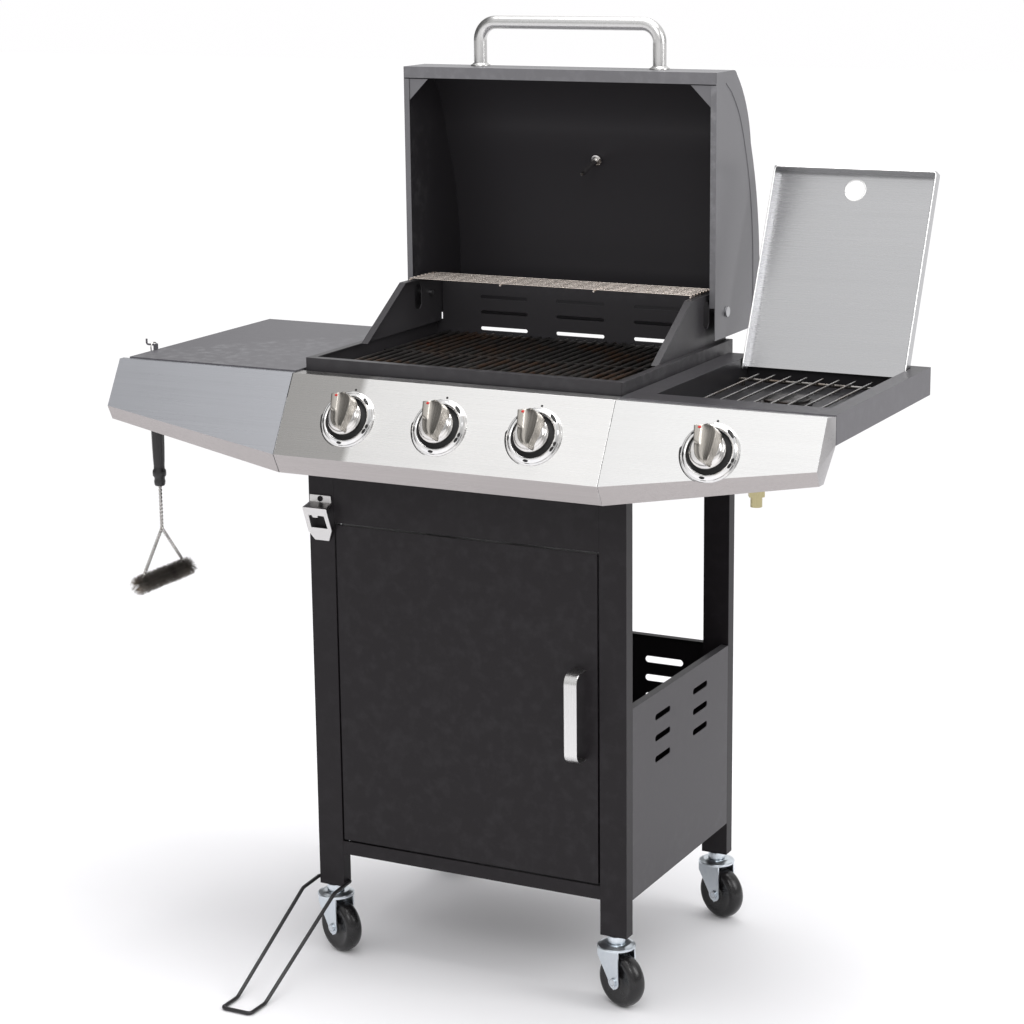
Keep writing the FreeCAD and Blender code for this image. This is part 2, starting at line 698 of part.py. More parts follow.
right_cap = feature(end_cap(1))
node(cut(fuse(rb, right_cap), tilt_hole("4", 7.0)), "fascia_right")
lb = new_body("fascia")
s1 = fascia_section(lb, -end_x + 1.0, -24.0 + 0.0 * T, fy_end + 0.0 * T, fz_end + 0.0 * T, -59.5 + 0.0 * T, 813.5 + 0.0 * T)
s2 = fascia_section(lb, -seam_x - 0.4, -24.0 + 0.0 * T, face_y, face_z, lip_y, lip_z)
lf = lb.newObject("PartDesign::AdditiveLoft", uid("loft"))
lf.Profile = s1
lf.Sections = [s2]
lf.Ruled = True
left_plate = prism("YZ_Plane", -end_x, -end_x + 1.2, [(-24.0 + 0.0 * T, top_z), (fascia_y, top_z), (fy_end, fz_end), (-59.5, 813.5), (-44.5, 813.5), (-24.0, 862.0)])
node(fuse(lb, left_plate), "fascia_left")

# --------------------------------------------- knobs, bezels, stems, valves
def bezel_shape(key):
    r = num(bezel_rad)
    pts = [(r - 15.0, 0.05), (r, 0.05), (r, 2.0), (r - 2.5, 5.6), (r - 7.0, 7.0), (r - 11.0, 6.4), (r - 12.5, 3.0), (r - 15.0, 2.2)]
    wire = Part.makePolygon([V(a, 0, b) for a, b in pts] + [V(pts[0][0], 0, pts[0][1])])
    s = Part.Face(wire).revolve(V(0, 0, 0), V(0, 0, 1), 360)
    s.Placement = Pl(knob_point(key, 0.0), KNOB_ROT)
    return s


node(feature(Part.makeCompound([bezel_shape(k) for k in "1234"])), "knob_bezels")

push = 4.0


def knob_shape(key):
    """Turned skirt, domed crown, a proud grip bar and a socket for the stem."""
    r = num(knob_rad)
    h = num(knob_len)
    b = 9.0   # the skirt floats above the bezel so that the knob can travel
    pts = [(0, b), (r - 2.5, b), (r, b + 1.5), (r, b + 8.0), (r - 2.5, b + 10.5), (r - 5.5, b + 12.0), (0, b + 13.5)]
    wire = Part.makePolygon([V(a, 0, c) for a, c in pts] + [V(0, 0, b)])
    s = Part.Face(wire).revolve(V(0, 0, 0), V(0, 0, 1), 360)
    # the grip: square at the pointer end, full in the middle, pointed at the foot
    grip = [(0.0, -25.0), (5.0, -20.5), (10.0, -12.0), (13.0, 0.0), (13.8, 12.0), (13.5, 29.5), (12.0, 31.0), (-12.0, 31.0), (-13.5, 29.5), (-13.8, 12.0), (-13.0, 0.0), (-10.0, -12.0), (-5.0, -20.5)]
    ga = math.radians(num(pointer_turn))
    grip = [V(a * math.cos(ga) - c * math.sin(ga), a * math.sin(ga) + c * math.cos(ga), b + 5.0) for a, c in grip]
    bar = Part.Face(Part.makePolygon(grip + [grip[0]])).extrude(V(0, 0, h - b - 5.0))
    # the right flank of the grip slopes down to the skirt
    fl = [V(2.5, 0, h + 1.0), V(14.5, 0, b + 9.5), V(16.5, 0, b + 9.5), V(16.5, 0, h + 1.0)]
    flank = Part.Face(Part.makePolygon(fl + [fl[0]])).extrude(V(0, 70.0, 0))
    flank.translate(V(0, -30.0, 0))
    flank.rotate(V(0, 0, 0), V(0, 0, 1), num(pointer_turn))
    bar = bar.cut(flank)
    s = s.fuse(bar).removeSplitter()
    s = s.cut(Part.makeCylinder(4.05, 16.0, V(0, 0, b - 1.0)))
    s.Placement = Pl(knob_point(key, 0.0), KNOB_ROT)
    return s


def stem_shape(key):
    a = Part.makeCylinder(4.0, 34.5, knob_point(key, -12.0), knob_n)
    c = Part.makeCylinder(5.5, 3.0, knob_point(key, -5.0), knob_n)
    return a.fuse(c).removeSplitter()


for k in "1234":
    feature(knob_shape(k), "knob_" + k)
    feature(stem_shape(k), "valve_stem_" + k)


def valve_shape(key):
    """Valve body on the manifold with a bore for the stem and a jet."""
    p = knob_point(key, -35.0)
    barrel = Part.makeCylinder(12.0, 24.0, knob_point(key, -36.0), knob_n)
    collar = Part.makeCylinder(8.0, 3.0, knob_point(key, -12.6), knob_n)
    x = num(KX[key])
    block = Part.makeBox(22.0, 20.0, 22.0, V(x - 11.0, -44.0, 813.2))
    jet = Part.makeCylinder(5.0, 20.0, V(x, -30.0, num(burner_z)), V(0, 1, 0))
    s = barrel.fuse([collar, block, jet])
    s = s.cut(Part.makeCylinder(4.06, 30.0, knob_point(key, -17.5), knob_n))
    return s.removeSplitter()


node(feature(Part.makeCompound([valve_shape(k) for k in "1234"])), "gas_valves")
man = Part.makeCylinder(8.0, 620.0, V(-175.0, -34.0, 805.0), V(1, 0, 0))
node(feature(man), "gas_manifold")
elbow = tube([(445.05, -34.0, 805.0), (463.0, -34.0, 805.0), (463.0, -34.0, 783.0)], 7.0, 10.0)
nut = Part.makeCylinder(11.0, 10.0, V(463.0, -34.0, 786.0))
hexes = [V(463.0 + 12.0 * math.cos(math.radians(a)), -34.0 + 12.0 * math.sin(math.radians(a)), 786.0) for a in range(0, 360, 60)]
nut = Part.Face(Part.makePolygon(hexes + [hexes[0]])).extrude(V(0, 0, 9.0))
tail = Part.makeCylinder(8.0, 14.0, V(463.0, -34.0, 772.0))
inlet = elbow.fuse([nut, tail]).cut(Part.makeCylinder(4.0, 20.0, V(463.0, -34.0, 771.0))).removeSplitter()
node(feature(inlet), "gas_inlet")

# ------------------------------------------------------------------- firebox
bw = box_w / 2.0
front_wall = prism("YZ_Plane", -bw + 1.6, bw - 1.6, strip_profile([(box_front + 13.0, box_top - 13.0), (box_front + 13.0, box_top), (box_front, box_top), (box_front, box_bot), (box_back - 1.0, box_bot)], 1.5, 1.0))
drain = box(-40.0 + 0.0 * T, 170.0 + 0.0 * T, box_bot - 2.0, 40.0 + 0.0 * T, 220.0 + 0.0 * T, box_bot + 4.0)
ports = [cyl("y", k * knob_pitch, box_front - 2.0, burner_z, burner_rad + 1.0, 6.0 + 0.0 * T) for k in (-1.0, 0.0, 1.0)]
ledge_f = box(-bw + 4.0, box_front + 1.0, 855.4 + 0.0 * T, bw - 4.0, box_front + 27.0, 856.8 + 0.0 * T)
node(cut(fuse(front_wall, ledge_f), drain, *ports), "firebox_tub")

back_x = wing_x - 2.0
low_x = bw - 0.2
bpts = [(-low_x, box_bot + 0.1), (low_x, box_bot + 0.1), (low_x, box_top), (back_x, box_top), (back_x, 985.0 + 0.0 * T), (-back_x, 985.0 + 0.0 * T), (-back_x, box_top), (-low_x, box_top)]
bslots = [(x, z, 82.0, 5.5) for x in (-132.0, 0.0, 132.0) for z in (908.0, 934.0, 958.0)]
ledges_b = [box(-bw + 20.0, box_back - 28.0, z + 0.0 * T, bw - 20.0, box_back + 0.5, z + 1.4 + 0.0 * T) for z in (812.4, 855.4)]
node(fuse(prism("XZ_Plane", box_back, box_back + box_t, bpts, slots=bslots), *ledges_b), "firebox_back")


def firebox_side(sign):
    def sx(a, b):
        return (a, b) if sign > 0 else (-b, -a)
    x0, x1 = sx(bw - box_t, bw)
    wall = box(x0, box_front, box_bot, x1, box_back, box_top)
    l0, l1 = sx(231.5 + 0.0 * T, bw - 1.0)
    ledge = box(l0, 24.0 + 0.0 * T, grate_top - 13.2, l1, 372.0 + 0.0 * T, grate_top - 11.7)
    x0, x1 = sx(wing_x - 1.5, bw)
    rim = box(x0, box_front + 13.1, box_top - box_t, x1, box_back, box_top)
    x0, x1 = sx(wing_x - 1.5, wing_x)
    wing = prism("YZ_Plane", x0, x1, [(138.0 + 0.0 * T, box_top - 1.0), (258.0 + 0.0 * T, wing_top), (box_back - 2.0, wing_top), (box_back - 2.0, box_top - 1.0)],
                 circles=[(hinge_y, hinge_z, hinge_pin_rad + fit_gap)], slots=[])
    slope_path = [(138.0 + 0.0 * T, box_top - 0.8), (258.0 + 0.0 * T, wing_top), (box_back - 2.0, wing_top)]
    x0, x1 = sx(wing_x - 11.0, wing_x)
    flange = prism("YZ_Plane", x0, x1, strip_profile(slope_path, 1.5, -1.0))
    x0, x1 = sx(wing_x - 4.0, wing_x + 4.0)
    slot = prism("YZ_Plane", x0, x1, [(302.0, 952.0), (308.0, 945.0), (318.0, 945.0), (324.0, 952.0), (324.0, 978.0), (318.0, 985.0), (308.0, 985.0), (302.0, 978.0)])
    return cut(fuse(wall, rim, ledge, wing, flange), slot)


node(group(firebox_side(1), firebox_side(-1)), "firebox_sides")

# Burner tubes with a venturi mouth in front of each valve's jet.
def burner(k):
    o = cyl("y", k * knob_pitch, -9.0 + 0.0 * T, burner_z, burner_rad, 380.0 + 0.0 * T)
    i = cyl("y", k * knob_pitch, -10.0 + 0.0 * T, burner_z, burner_rad - 1.2, 379.0 + 0.0 * T)
    return cut(o, i)


node(group(*[burner(k) for k in (-1.0, 0.0, 1.0)]), "burner_tubes")
tent = [(-36.0, 858.0), (0.0, 886.0), (36.0, 858.0)]
tamers = []
for k in (-1.0, 0.0, 1.0):
    p = strip_profile([(k * knob_pitch + a, b + 0.0 * T) for a, b in tent], 1.2, -1.0)
    tamers.append(prism("XZ_Plane", 14.0 + 0.0 * T, 378.0 + 0.0 * T, p))
node(group(*tamers), "flame_tamers")

# Cooking grate: round rods front to back on three cross bars.
rods = []
n_rods = 29
zr = num(grate_top) - num(rod_rad)
for i in range(n_rods):
    x = (i - (n_rods - 1) / 2.0) * num(rod_pitch)
    rods.append(Part.makeCylinder(num(rod_rad), 364.0, V(x, 16.0, zr), V(0, 1, 0)))
bars = [Part.makeBox(2 * 236.0, 7.0, 9.0, V(-236.0, y, zr - 8.6)) for y in (20.0, 194.0, 369.0)]
node(feature(bars[0].fuse(bars[1:] + rods)), "cooking_grate")

# Warming rack: seven wires left to right, carried by two end wires.
wires = []
rz = num(rack_z)
for i in range(7):
    wires.append(Part.makeCylinder(1.4, 470.0, V(-235.0, 277.0 + 11.5 * i, rz + 1.6), V(1, 0, 0)))
ends = [Part.makeCylinder(2.0, 78.0, V(x, 274.0, rz - 0.6), V(0, 1, 0)) for x in (-234.0, -78.0, 78.0, 234.0)]
node(feature(ends[0].fuse(ends[1:] + wires)), "warming_rack")

# Grease tray with a drain hole over a hanging cup.
gx = 212.4
g_out = box(-gx + 0.0 * T, 30.0 + 0.0 * T, 760.4 + 0.0 * T, gx + 0.0 * T, 366.0 + 0.0 * T, 780.4 + 0.0 * T)
g_in = box(-gx + 1.0 + 0.0 * T, 31.0 + 0.0 * T, 761.4 + 0.0 * T, gx - 1.0 + 0.0 * T, 365.0 + 0.0 * T, 790.4 + 0.0 * T)
g_hole = cyl("z", 0.0 * T, 195.0 + 0.0 * T, 755.0 + 0.0 * T, 9.0 + 0.0 * T, 12.0 + 0.0 * T)
node(cut(g_out, g_in, g_hole), "grease_tray")
c_out = cone("z", 0.0 * T, 195.0 + 0.0 * T, 700.0 + 0.0 * T, 26.0 + 0.0 * T, 32.0 + 0.0 * T, 60.4 + 0.0 * T)
c_in = cone("z", 0.0 * T, 195.0 + 0.0 * T, 701.2 + 0.0 * T, 24.8 + 0.0 * T, 30.9 + 0.0 * T, 61.0 + 0.0 * T)
node(cut(c_out, c_in), "grease_cup")

# ---------------------------------------------------------------------- hood
# Stored open. Profile in the Y-Z plane: front flange, top, curved back, bottom.
def hood_outline():
    y0, zt, zb = num(hood_face_y), num(hood_top), num(hood_bot)
    e = []
    a = V(0, y0, zt - 17.0)
    b = V(0, y0, zt)
    c = V(0, 374.0, zt)
    d = V(0, 386.5, zt - 6.5)
    f = V(0, 443.5, 1206.0)
    g = V(0, 483.0, 1000.0)
    h = V(0, 483.0, zb + 24.0)
    i = V(0, 459.0, zb)
    j = V(0, 397.0, zb)
    e.append(Part.LineSegment(a, b).toShape())
    e.append(Part.LineSegment(b, c).toShape())
    e.append(Part.Arc(c, V(0, 381.6, zt - 1.6), d).toShape())
    e.append(Part.Arc(d, V(0, 416.5, 1276.5), f).toShape())
    e.append(Part.Arc(f, V(0, 473.4, 1105.0), g).toShape())
    e.append(Part.LineSegment(g, h).toShape())
    e.append(Part.Arc(h, V(0, 459.0 + 24.0 * math.sin(math.pi / 4), zb + 24.0 - 24.0 * math.cos(math.pi / 4)), i).toShape())
    e.append(Part.LineSegment(i, j).toShape())
    return e, a, j


edges, p_start, p_end = hood_outline()
hx = num(hood_half) - num(hood_t)


def shell_from(path_edges, t, x0, x1):
    w = Part.Wire(path_edges)
    off = w.makeOffset2D(t, 2, False, True, False)
    # close the open offset pair into one outline
    return off


def thick_outline(path_edges, t):
    """Outline of a sheet of thickness t inside an open path, from sampled points."""
    w = Part.Wire(path_edges)
    outer = []
    for ed in w.OrderedEdges:
        k = 2 if isinstance(ed.Curve, Part.Line) else 9
        pts = ed.discretize(k)
        if ed.Orientation == "Reversed":
            pts = pts[::-1]
        for q in pts:
            if not outer or (q - outer[-1]).Length > 1e-3:
                outer.append(q)
    return outer


outer = thick_outline(edges, 1.2)
# the thermometer sits square on one facet of the hood's back
th_n = V(0, 0.9516138, 0.3072966)
th_p = V(0, 455.6575, 1172.5711)
prof = strip_profile([(p.y, p.z) for p in outer], num(hood_t), -1.0)
wire = Part.makePolygon([V(-hx + 0.1, a, b) for a, b in prof] + [V(-hx + 0.1, prof[0][0], prof[0][1])])
hood = Part.Face(wire).extrude(V(2 * hx - 0.2, 0, 0))
node(feature(hood.cut(Part.makeCylinder(4.2, 24.0, th_p - th_n * 12.0, th_n))), "hood_shell")


def cap_shape(sign):
    """End cap: a plate with the hood's outline and a rim flange turned inward."""
    pts = [V(0, p.y, p.z) for p in outer] + [V(0, num(hood_face_y), num(hood_bot))]
    t = num(hood_t)
    x0 = hx if sign > 0 else -hx - t
    plate_wire = Part.makePolygon([V(x0, p.y, p.z) for p in pts] + [V(x0, pts[0].y, pts[0].z)])
    plate = Part.Face(plate_wire).extrude(V(t, 0, 0))
    fx = hx - 8.0 if sign > 0 else -hx - t
    flange = Part.makeBox(8.0 + t, t, num(hood_top) - 18.5 - 976.0, V(fx, num(hood_face_y), 976.0))
    gx0 = hx - 42.0 if sign > 0 else -hx
    s = plate.fuse(flange)
    # corner gusset behind the front flange
    gp = [V(hx if sign > 0 else -hx, 0, 1299.0), V((hx - 40.0) * sign, 0, 1299.0), V(hx if sign > 0 else -hx, 0, 1259.0)]
    gp = [V(p.x, num(hood_face_y) + 1.6, p.z) for p in gp]
    gus = Part.Face(Part.makePolygon(gp + [gp[0]])).extrude(V(0, 1.2, 0))
    s = s.fuse(gus)
    s = s.cut(Part.makeCylinder(num(hinge_pin_rad) + num(fit_gap), 20.0, V(x0 - 9.0, num(hinge_y), num(hinge_z)), V(1, 0, 0)))
    return s.removeSplitter()


node(feature(Part.makeCompound([cap_shape(1), cap_shape(-1)])), "hood_end_caps")

hs = num(handle_span) / 2.0
bar = tube([(-hs, hood_rise_y, num(hood_top) + 0.05), (-hs, hood_rise_y, handle_z), (hs, hood_rise_y, handle_z), (hs, hood_rise_y, num(hood_top) + 0.05)], handle_rad, 27.0)
node(feature(bar), "hood_handle")

th = Part.makeCylinder(31.0, 11.0, th_p + th_n * 0.05, th_n)
th = th.cut(Part.makeCylinder(28.0, 4.0, th_p + th_n * 8.05, th_n))
th = th.fuse([Part.makeCylinder(4.0, 60.0, th_p - th_n * 58.0, th_n), Part.makeCylinder(8.5, 5.0, th_p - th_n * 6.3, th_n)])
node(feature(th.removeSplitter()), "thermometer")

# ------------------------------------------------------- side shelf and tray
def skirted(x0, x1):
    o = box(x0, tray_f, tray_bot, x1, tray_b, deck_z)
    i = box(x0 + T, tray_f + T, tray_bot - 1.0, x1 - T, tray_b - T, deck_z - T)
    return cut(o, i)


hook = tube([(-551.5, 45.0, 909.5), (-567.0, 45.0, 909.5), (-567.0, 45.0, 918.0)], 1.5, 3.0)
tab = Part.makeBox(2.0, 10.0, 47.0, V(-551.6, 40.0, 864.0))
hook_f = feature(hook.fuse(tab).removeSplitter())
node(fuse(skirted(shelf_l, -tray_l), hook_f), "left_shelf")

well_o = box(well_l - T, well_f - T, tray_bot + 4.0, well_r + T, well_b + T, deck_z - 0.5 * T)
well_i = box(well_l, well_f, well_z, well_r, well_b, deck_z + 2.0)
lid_bore = cyl("x", well_l - 6.0, lid_pin_y, lid_pin_z, 3.08 + 0.0 * T, well_r - well_l + 12.0)
b_hole = cyl("z", 420.0 + 0.0 * T, 185.0 + 0.0 * T, tray_bot - 2.0, 21.0 + 0.0 * T, 10.0 + 0.0 * T)
node(cut(fuse(skirted(tray_l, tray_r), well_o), well_i, lid_bore, b_hole), "side_burner_tray")

# Side burner: mixing tube under the tray, riser through the floor, cap on top.
mix = tube([(409.0, -9.0, 829.0), (409.0, 60.0, 829.0), (420.0, 140.0, 829.0), (420.0, 185.0, 829.0), (420.0, 185.0, 866.0)], 10.0, [40.0, 40.0, 18.0])
riser = Part.makeCylinder(20.0, 12.0, V(420.0, 185.0, 858.0))
head = Part.makeCone(36.0, 38.0, 6.0, V(420.0, 185.0, 868.0))
capr = Part.makeCylinder(33.0, 3.3, V(420.0, 185.0, 874.0))
node(feature(mix.fuse([riser, head, capr]).removeSplitter()), "side_burner")

# Pot support: nine wires on two cross wires, with a ring over the burner.
gw = []
for i in range(9):
    x = 320.0 + 25.0 * i
    gw.append(Part.makeCylinder(1.75, 302.0, V(x, 26.0, 880.0), V(0, 1, 0)))
gc = [Part.makeCylinder(2.5, 240.0, V(300.0, y, 876.2), V(1, 0, 0)) for y in (50.0, 304.0)]
feet = [Part.makeCylinder(2.5, 9.0, V(x, y, 867.4)) for x in (306.0, 534.0) for y in (50.0, 304.0)]
node(feature(gw[0].fuse(gw[1:] + gc + feet)), "side_grate")

# Side lid: a shallow pan that drops into the well; stored open.
lx0, lx1 = num(well_l) + 1.0, num(well_r) - 1.0
lt = 1.0
pan = Part.makeBox(lx1 - lx0, 304.0, 18.0, V(lx0, 23.0, 883.8))
pan = pan.cut(Part.makeBox(lx1 - lx0 - 2 * lt, 304.0, 18.0, V(lx0 + lt, 23.0 + lt, 883.8 - lt)))
ears = Part.makeBox(lt, 14.0, 8.0, V(lx0, 320.0, 884.0)).fuse(Part.makeBox(lt, 14.0, 8.0, V(lx1 - lt, 320.0, 884.0)))
pan = pan.fuse(ears).cut(Part.makeCylinder(3.08, 300.0, V(lx0 - 10.0, 330.0, 890.0), V(1, 0, 0)))
pan = pan.cut(Part.makeCylinder(15.0, 10.0, V((lx0 + lx1) / 2.0, 51.0, 895.0)))
lid = feature(pan.removeSplitter())
lid.Label = "side_lid"
open_rot = Rot(V(1, 0, 0), -num(lid_open))
hp = V(0, num(lid_pin_y), num(lid_pin_z))
base = hp - open_rot.multVec(hp)
lid.Placement = Pl(V(0, base.y - num(y_mid), base.z), open_rot)
NODES.append(lid)

# ------------------------------------------------------------- bottle opener
# A bent plate on the front left leg: a screwed tab, a short shelf and a front
# plate that slopes back to the leg, with a window whose lip lifts the cap.
ox0, ox1 = -255.0, -214.0
ramp = [(-2.05, 714.5), (-2.05, 704.0), (-23.0, 699.5), (-22.6, 696.5), (-2.15, 646.5)]
ramp = [(num(a), num(c)) for a, c in strip_profile([(a + 0.0 * T, c + 0.0 * T) for a, c in ramp], 2.0, 1.0)]
ring = [V(ox0, a, c) for a, c in ramp]
opener = Part.Face(Part.makePolygon(ring + [ring[0]])).extrude(V(ox1 - ox0, 0, 0))
out = [(-254.5, 713.0), (-253.0, 716.0), (-220.5, 716.0), (-218.5, 713.5), (-218.0, 702.5), (-214.0, 698.5), (-214.0, 664.0), (-224.0, 645.0), (-246.0, 645.0), (-255.0, 660.0)]
out = [V(a, -40.0, c) for a, c in out]
opener = opener.common(Part.Face(Part.makePolygon(out + [out[0]])).extrude(V(0, 45.0, 0)))
win = [(-248.0, 667.0), (-220.0, 667.0), (-221.0, 687.5), (-231.5, 687.5), (-232.5, 684.0), (-240.5, 684.0), (-241.5, 687.5), (-247.0, 687.5)]
win = [V(a, -40.0, c) for a, c in win]
opener = opener.cut(Part.Face(Part.makePolygon(win + [win[0]])).extrude(V(0, 45.0, 0))).removeSplitter()
node(feature(opener), "bottle_opener")

# --------------------------------------------------------------- grill brush
bx, by = num(brush_x), num(brush_y)
prof = [(0, 690), (7.0, 690), (9.0, 693), (9.6, 702), (9.0, 707), (10.4, 709), (10.4, 716), (9.0, 718), (9.6, 740), (10.2, 790), (9.4, 835), (7.0, 852), (4.0, 855), (0, 855)]
wire = Part.makePolygon([V(a, 0, b) for a, b in prof] + [V(prof[0][0], 0, prof[0][1])])
grip = Part.Face(wire).revolve(V(0, 0, 0), V(0, 0, 1), 360)
grip.translate(V(bx, by, 0))
# hanging loop: two strands joined by an arc over the hook
loop_pts = [V(bx, by - 2.0, 848.0), V(bx, by - 8.2, 905.0)]
arc = Part.Arc(V(bx, by - 8.2, 905.0), V(bx, by, 913.2), V(bx, by + 8.2, 905.0)).toShape()
loop_wire = Part.Wire([Part.LineSegment(loop_pts[0], loop_pts[1]).toShape(), arc, Part.LineSegment(V(bx, by + 8.2, 905.0), V(bx, by + 2.0, 848.0)).toShape()])
circ = Part.Wire(Part.makeCircle(1.2, loop_pts[0], loop_pts[1] - loop_pts[0]))
loop = loop_wire.makePipeShell([circ], True, False, 2)
node(feature(grip.fuse(loop)), "brush_handle")

shaft = Part.makeCylinder(3.0, 68.95, V(bx, by, 621.0))
arms = []
for s in (-1.0, 1.0):
    a, b = V(bx, by, 622.0), V(bx, by + s * 58.0, 552.0)
    arms.append(Part.makeCylinder(2.6, (b - a).Length + 2.0, a, b - a))
core = Part.makeCylinder(3.0, 150.0, V(bx, by - 75.0, 546.0), V(0, 1, 0))
bristle = Part.makeCylinder(16.0, 142.0, V(bx, by - 71.0, 546.0), V(0, 1, 0))
node(feature(shaft.fuse(arms + [core, bristle]).removeSplitter()), "brush_head")

# ----------------------------------------------------------------- wire stay
# A bent wire loop pivoted in the foot of the front left leg; it rests on the
# floor in front of the caster.
ly, lzz = num(leg_t) / 2.0, num(leg_bot) + 7.0
stay = tube([(-247.0, ly, lzz), (-264.5, ly, lzz), (-264.5, -38.0, 109.0), (-267.5, -222.0, 3.4), (-267.5, -262.0, 3.4), (-219.5, -262.0, 3.4), (-219.5, -222.0, 3.4), (-209.5, -38.0, 109.0), (-209.5, ly, lzz), (-223.0, ly, lzz)],
            stay_rad, [4.0, 14.0, 14.0, 6.0, 6.0, 14.0, 14.0, 4.0])
node(feature(stay), "wire_stay")

# ----------------------------------------------------------------- fasteners
def screw(x, y, z, axis, r=4.2, h=2.4):
    n = {"-y": V(0, -1, 0), "+x": V(1, 0, 0), "-x": V(-1, 0, 0), "+y": V(0, 1, 0)}[axis]
    p = V(x, y, z)
    head = Part.makeCone(r, r - 1.2, h, p, n)
    return head


screws = [screw(-236.5, -2.1, 709.3, "-y", 3.4, 2.0)]
for sx_ in (-236.0, 236.0):
    for z in (200.0, 430.0):
        screws.append(screw(sx_, num(cart_d), z, "+y"))
node(feature(Part.makeCompound(screws)), "fasteners")

# -------------------------------------------------------------------- export
doc.recompute()
doc.recompute()
bad = []
for o in doc.Objects:
    if any(s in ("Invalid", "Error") for s in o.State):
        bad.append("%s (%s): %s" % (o.Name, o.Label, o.State))
for o in NODES:
    if o.Shape.isNull() or not o.Shape.isValid():
        bad.append("shape of %s" % o.Label)
if bad:
    raise SystemExit("failed: " + "; ".join(bad))
os.makedirs("parts", exist_ok=True)
total = FreeCAD.BoundBox()
for o in NODES:
    b = o.Shape.BoundBox
    total.add(b)
    o.Shape.exportStep("parts/%s.step" % o.Label)
    print("%-26s solids %2d vol %10.0f  x %7.1f %7.1f  y %7.1f %7.1f  z %7.1f %7.1f" % (o.Label, len(o.Shape.Solids), o.Shape.Volume, b.XMin, b.XMax, b.YMin, b.YMax, b.ZMin, b.ZMax))
print("nodes", len(NODES), "box", total)
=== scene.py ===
import json
import math
import random

import bmesh
import bpy
from mathutils import Matrix, Vector


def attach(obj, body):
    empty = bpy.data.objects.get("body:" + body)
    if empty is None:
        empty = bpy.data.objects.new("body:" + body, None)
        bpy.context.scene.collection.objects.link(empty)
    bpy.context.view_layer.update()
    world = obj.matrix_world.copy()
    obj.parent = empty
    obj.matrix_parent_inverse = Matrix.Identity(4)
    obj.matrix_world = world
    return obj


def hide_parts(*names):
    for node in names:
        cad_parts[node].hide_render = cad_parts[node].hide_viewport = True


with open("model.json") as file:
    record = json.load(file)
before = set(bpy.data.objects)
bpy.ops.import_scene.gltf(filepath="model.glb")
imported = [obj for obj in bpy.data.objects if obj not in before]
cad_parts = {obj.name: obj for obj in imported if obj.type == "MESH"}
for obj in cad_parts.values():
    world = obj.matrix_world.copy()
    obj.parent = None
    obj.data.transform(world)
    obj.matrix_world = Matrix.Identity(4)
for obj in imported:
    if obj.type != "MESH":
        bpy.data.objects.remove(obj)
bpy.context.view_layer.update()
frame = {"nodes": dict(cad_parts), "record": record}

YM = 109.4          # the cart's front face lies this far (mm) in front of the origin
NODES = frame["nodes"]
BODY = {}
for b, members in frame["record"]["behaviour"]["bodies"].items():
    for m in members:
        BODY[m] = b
SLOT = {s["node"]: s["material_slot"] for s in frame["record"]["subparts"]}


def C(x, y, z):
    """Cart millimetres to scene metres."""
    return Vector((x / 1000.0, (y - YM) / 1000.0, z / 1000.0))


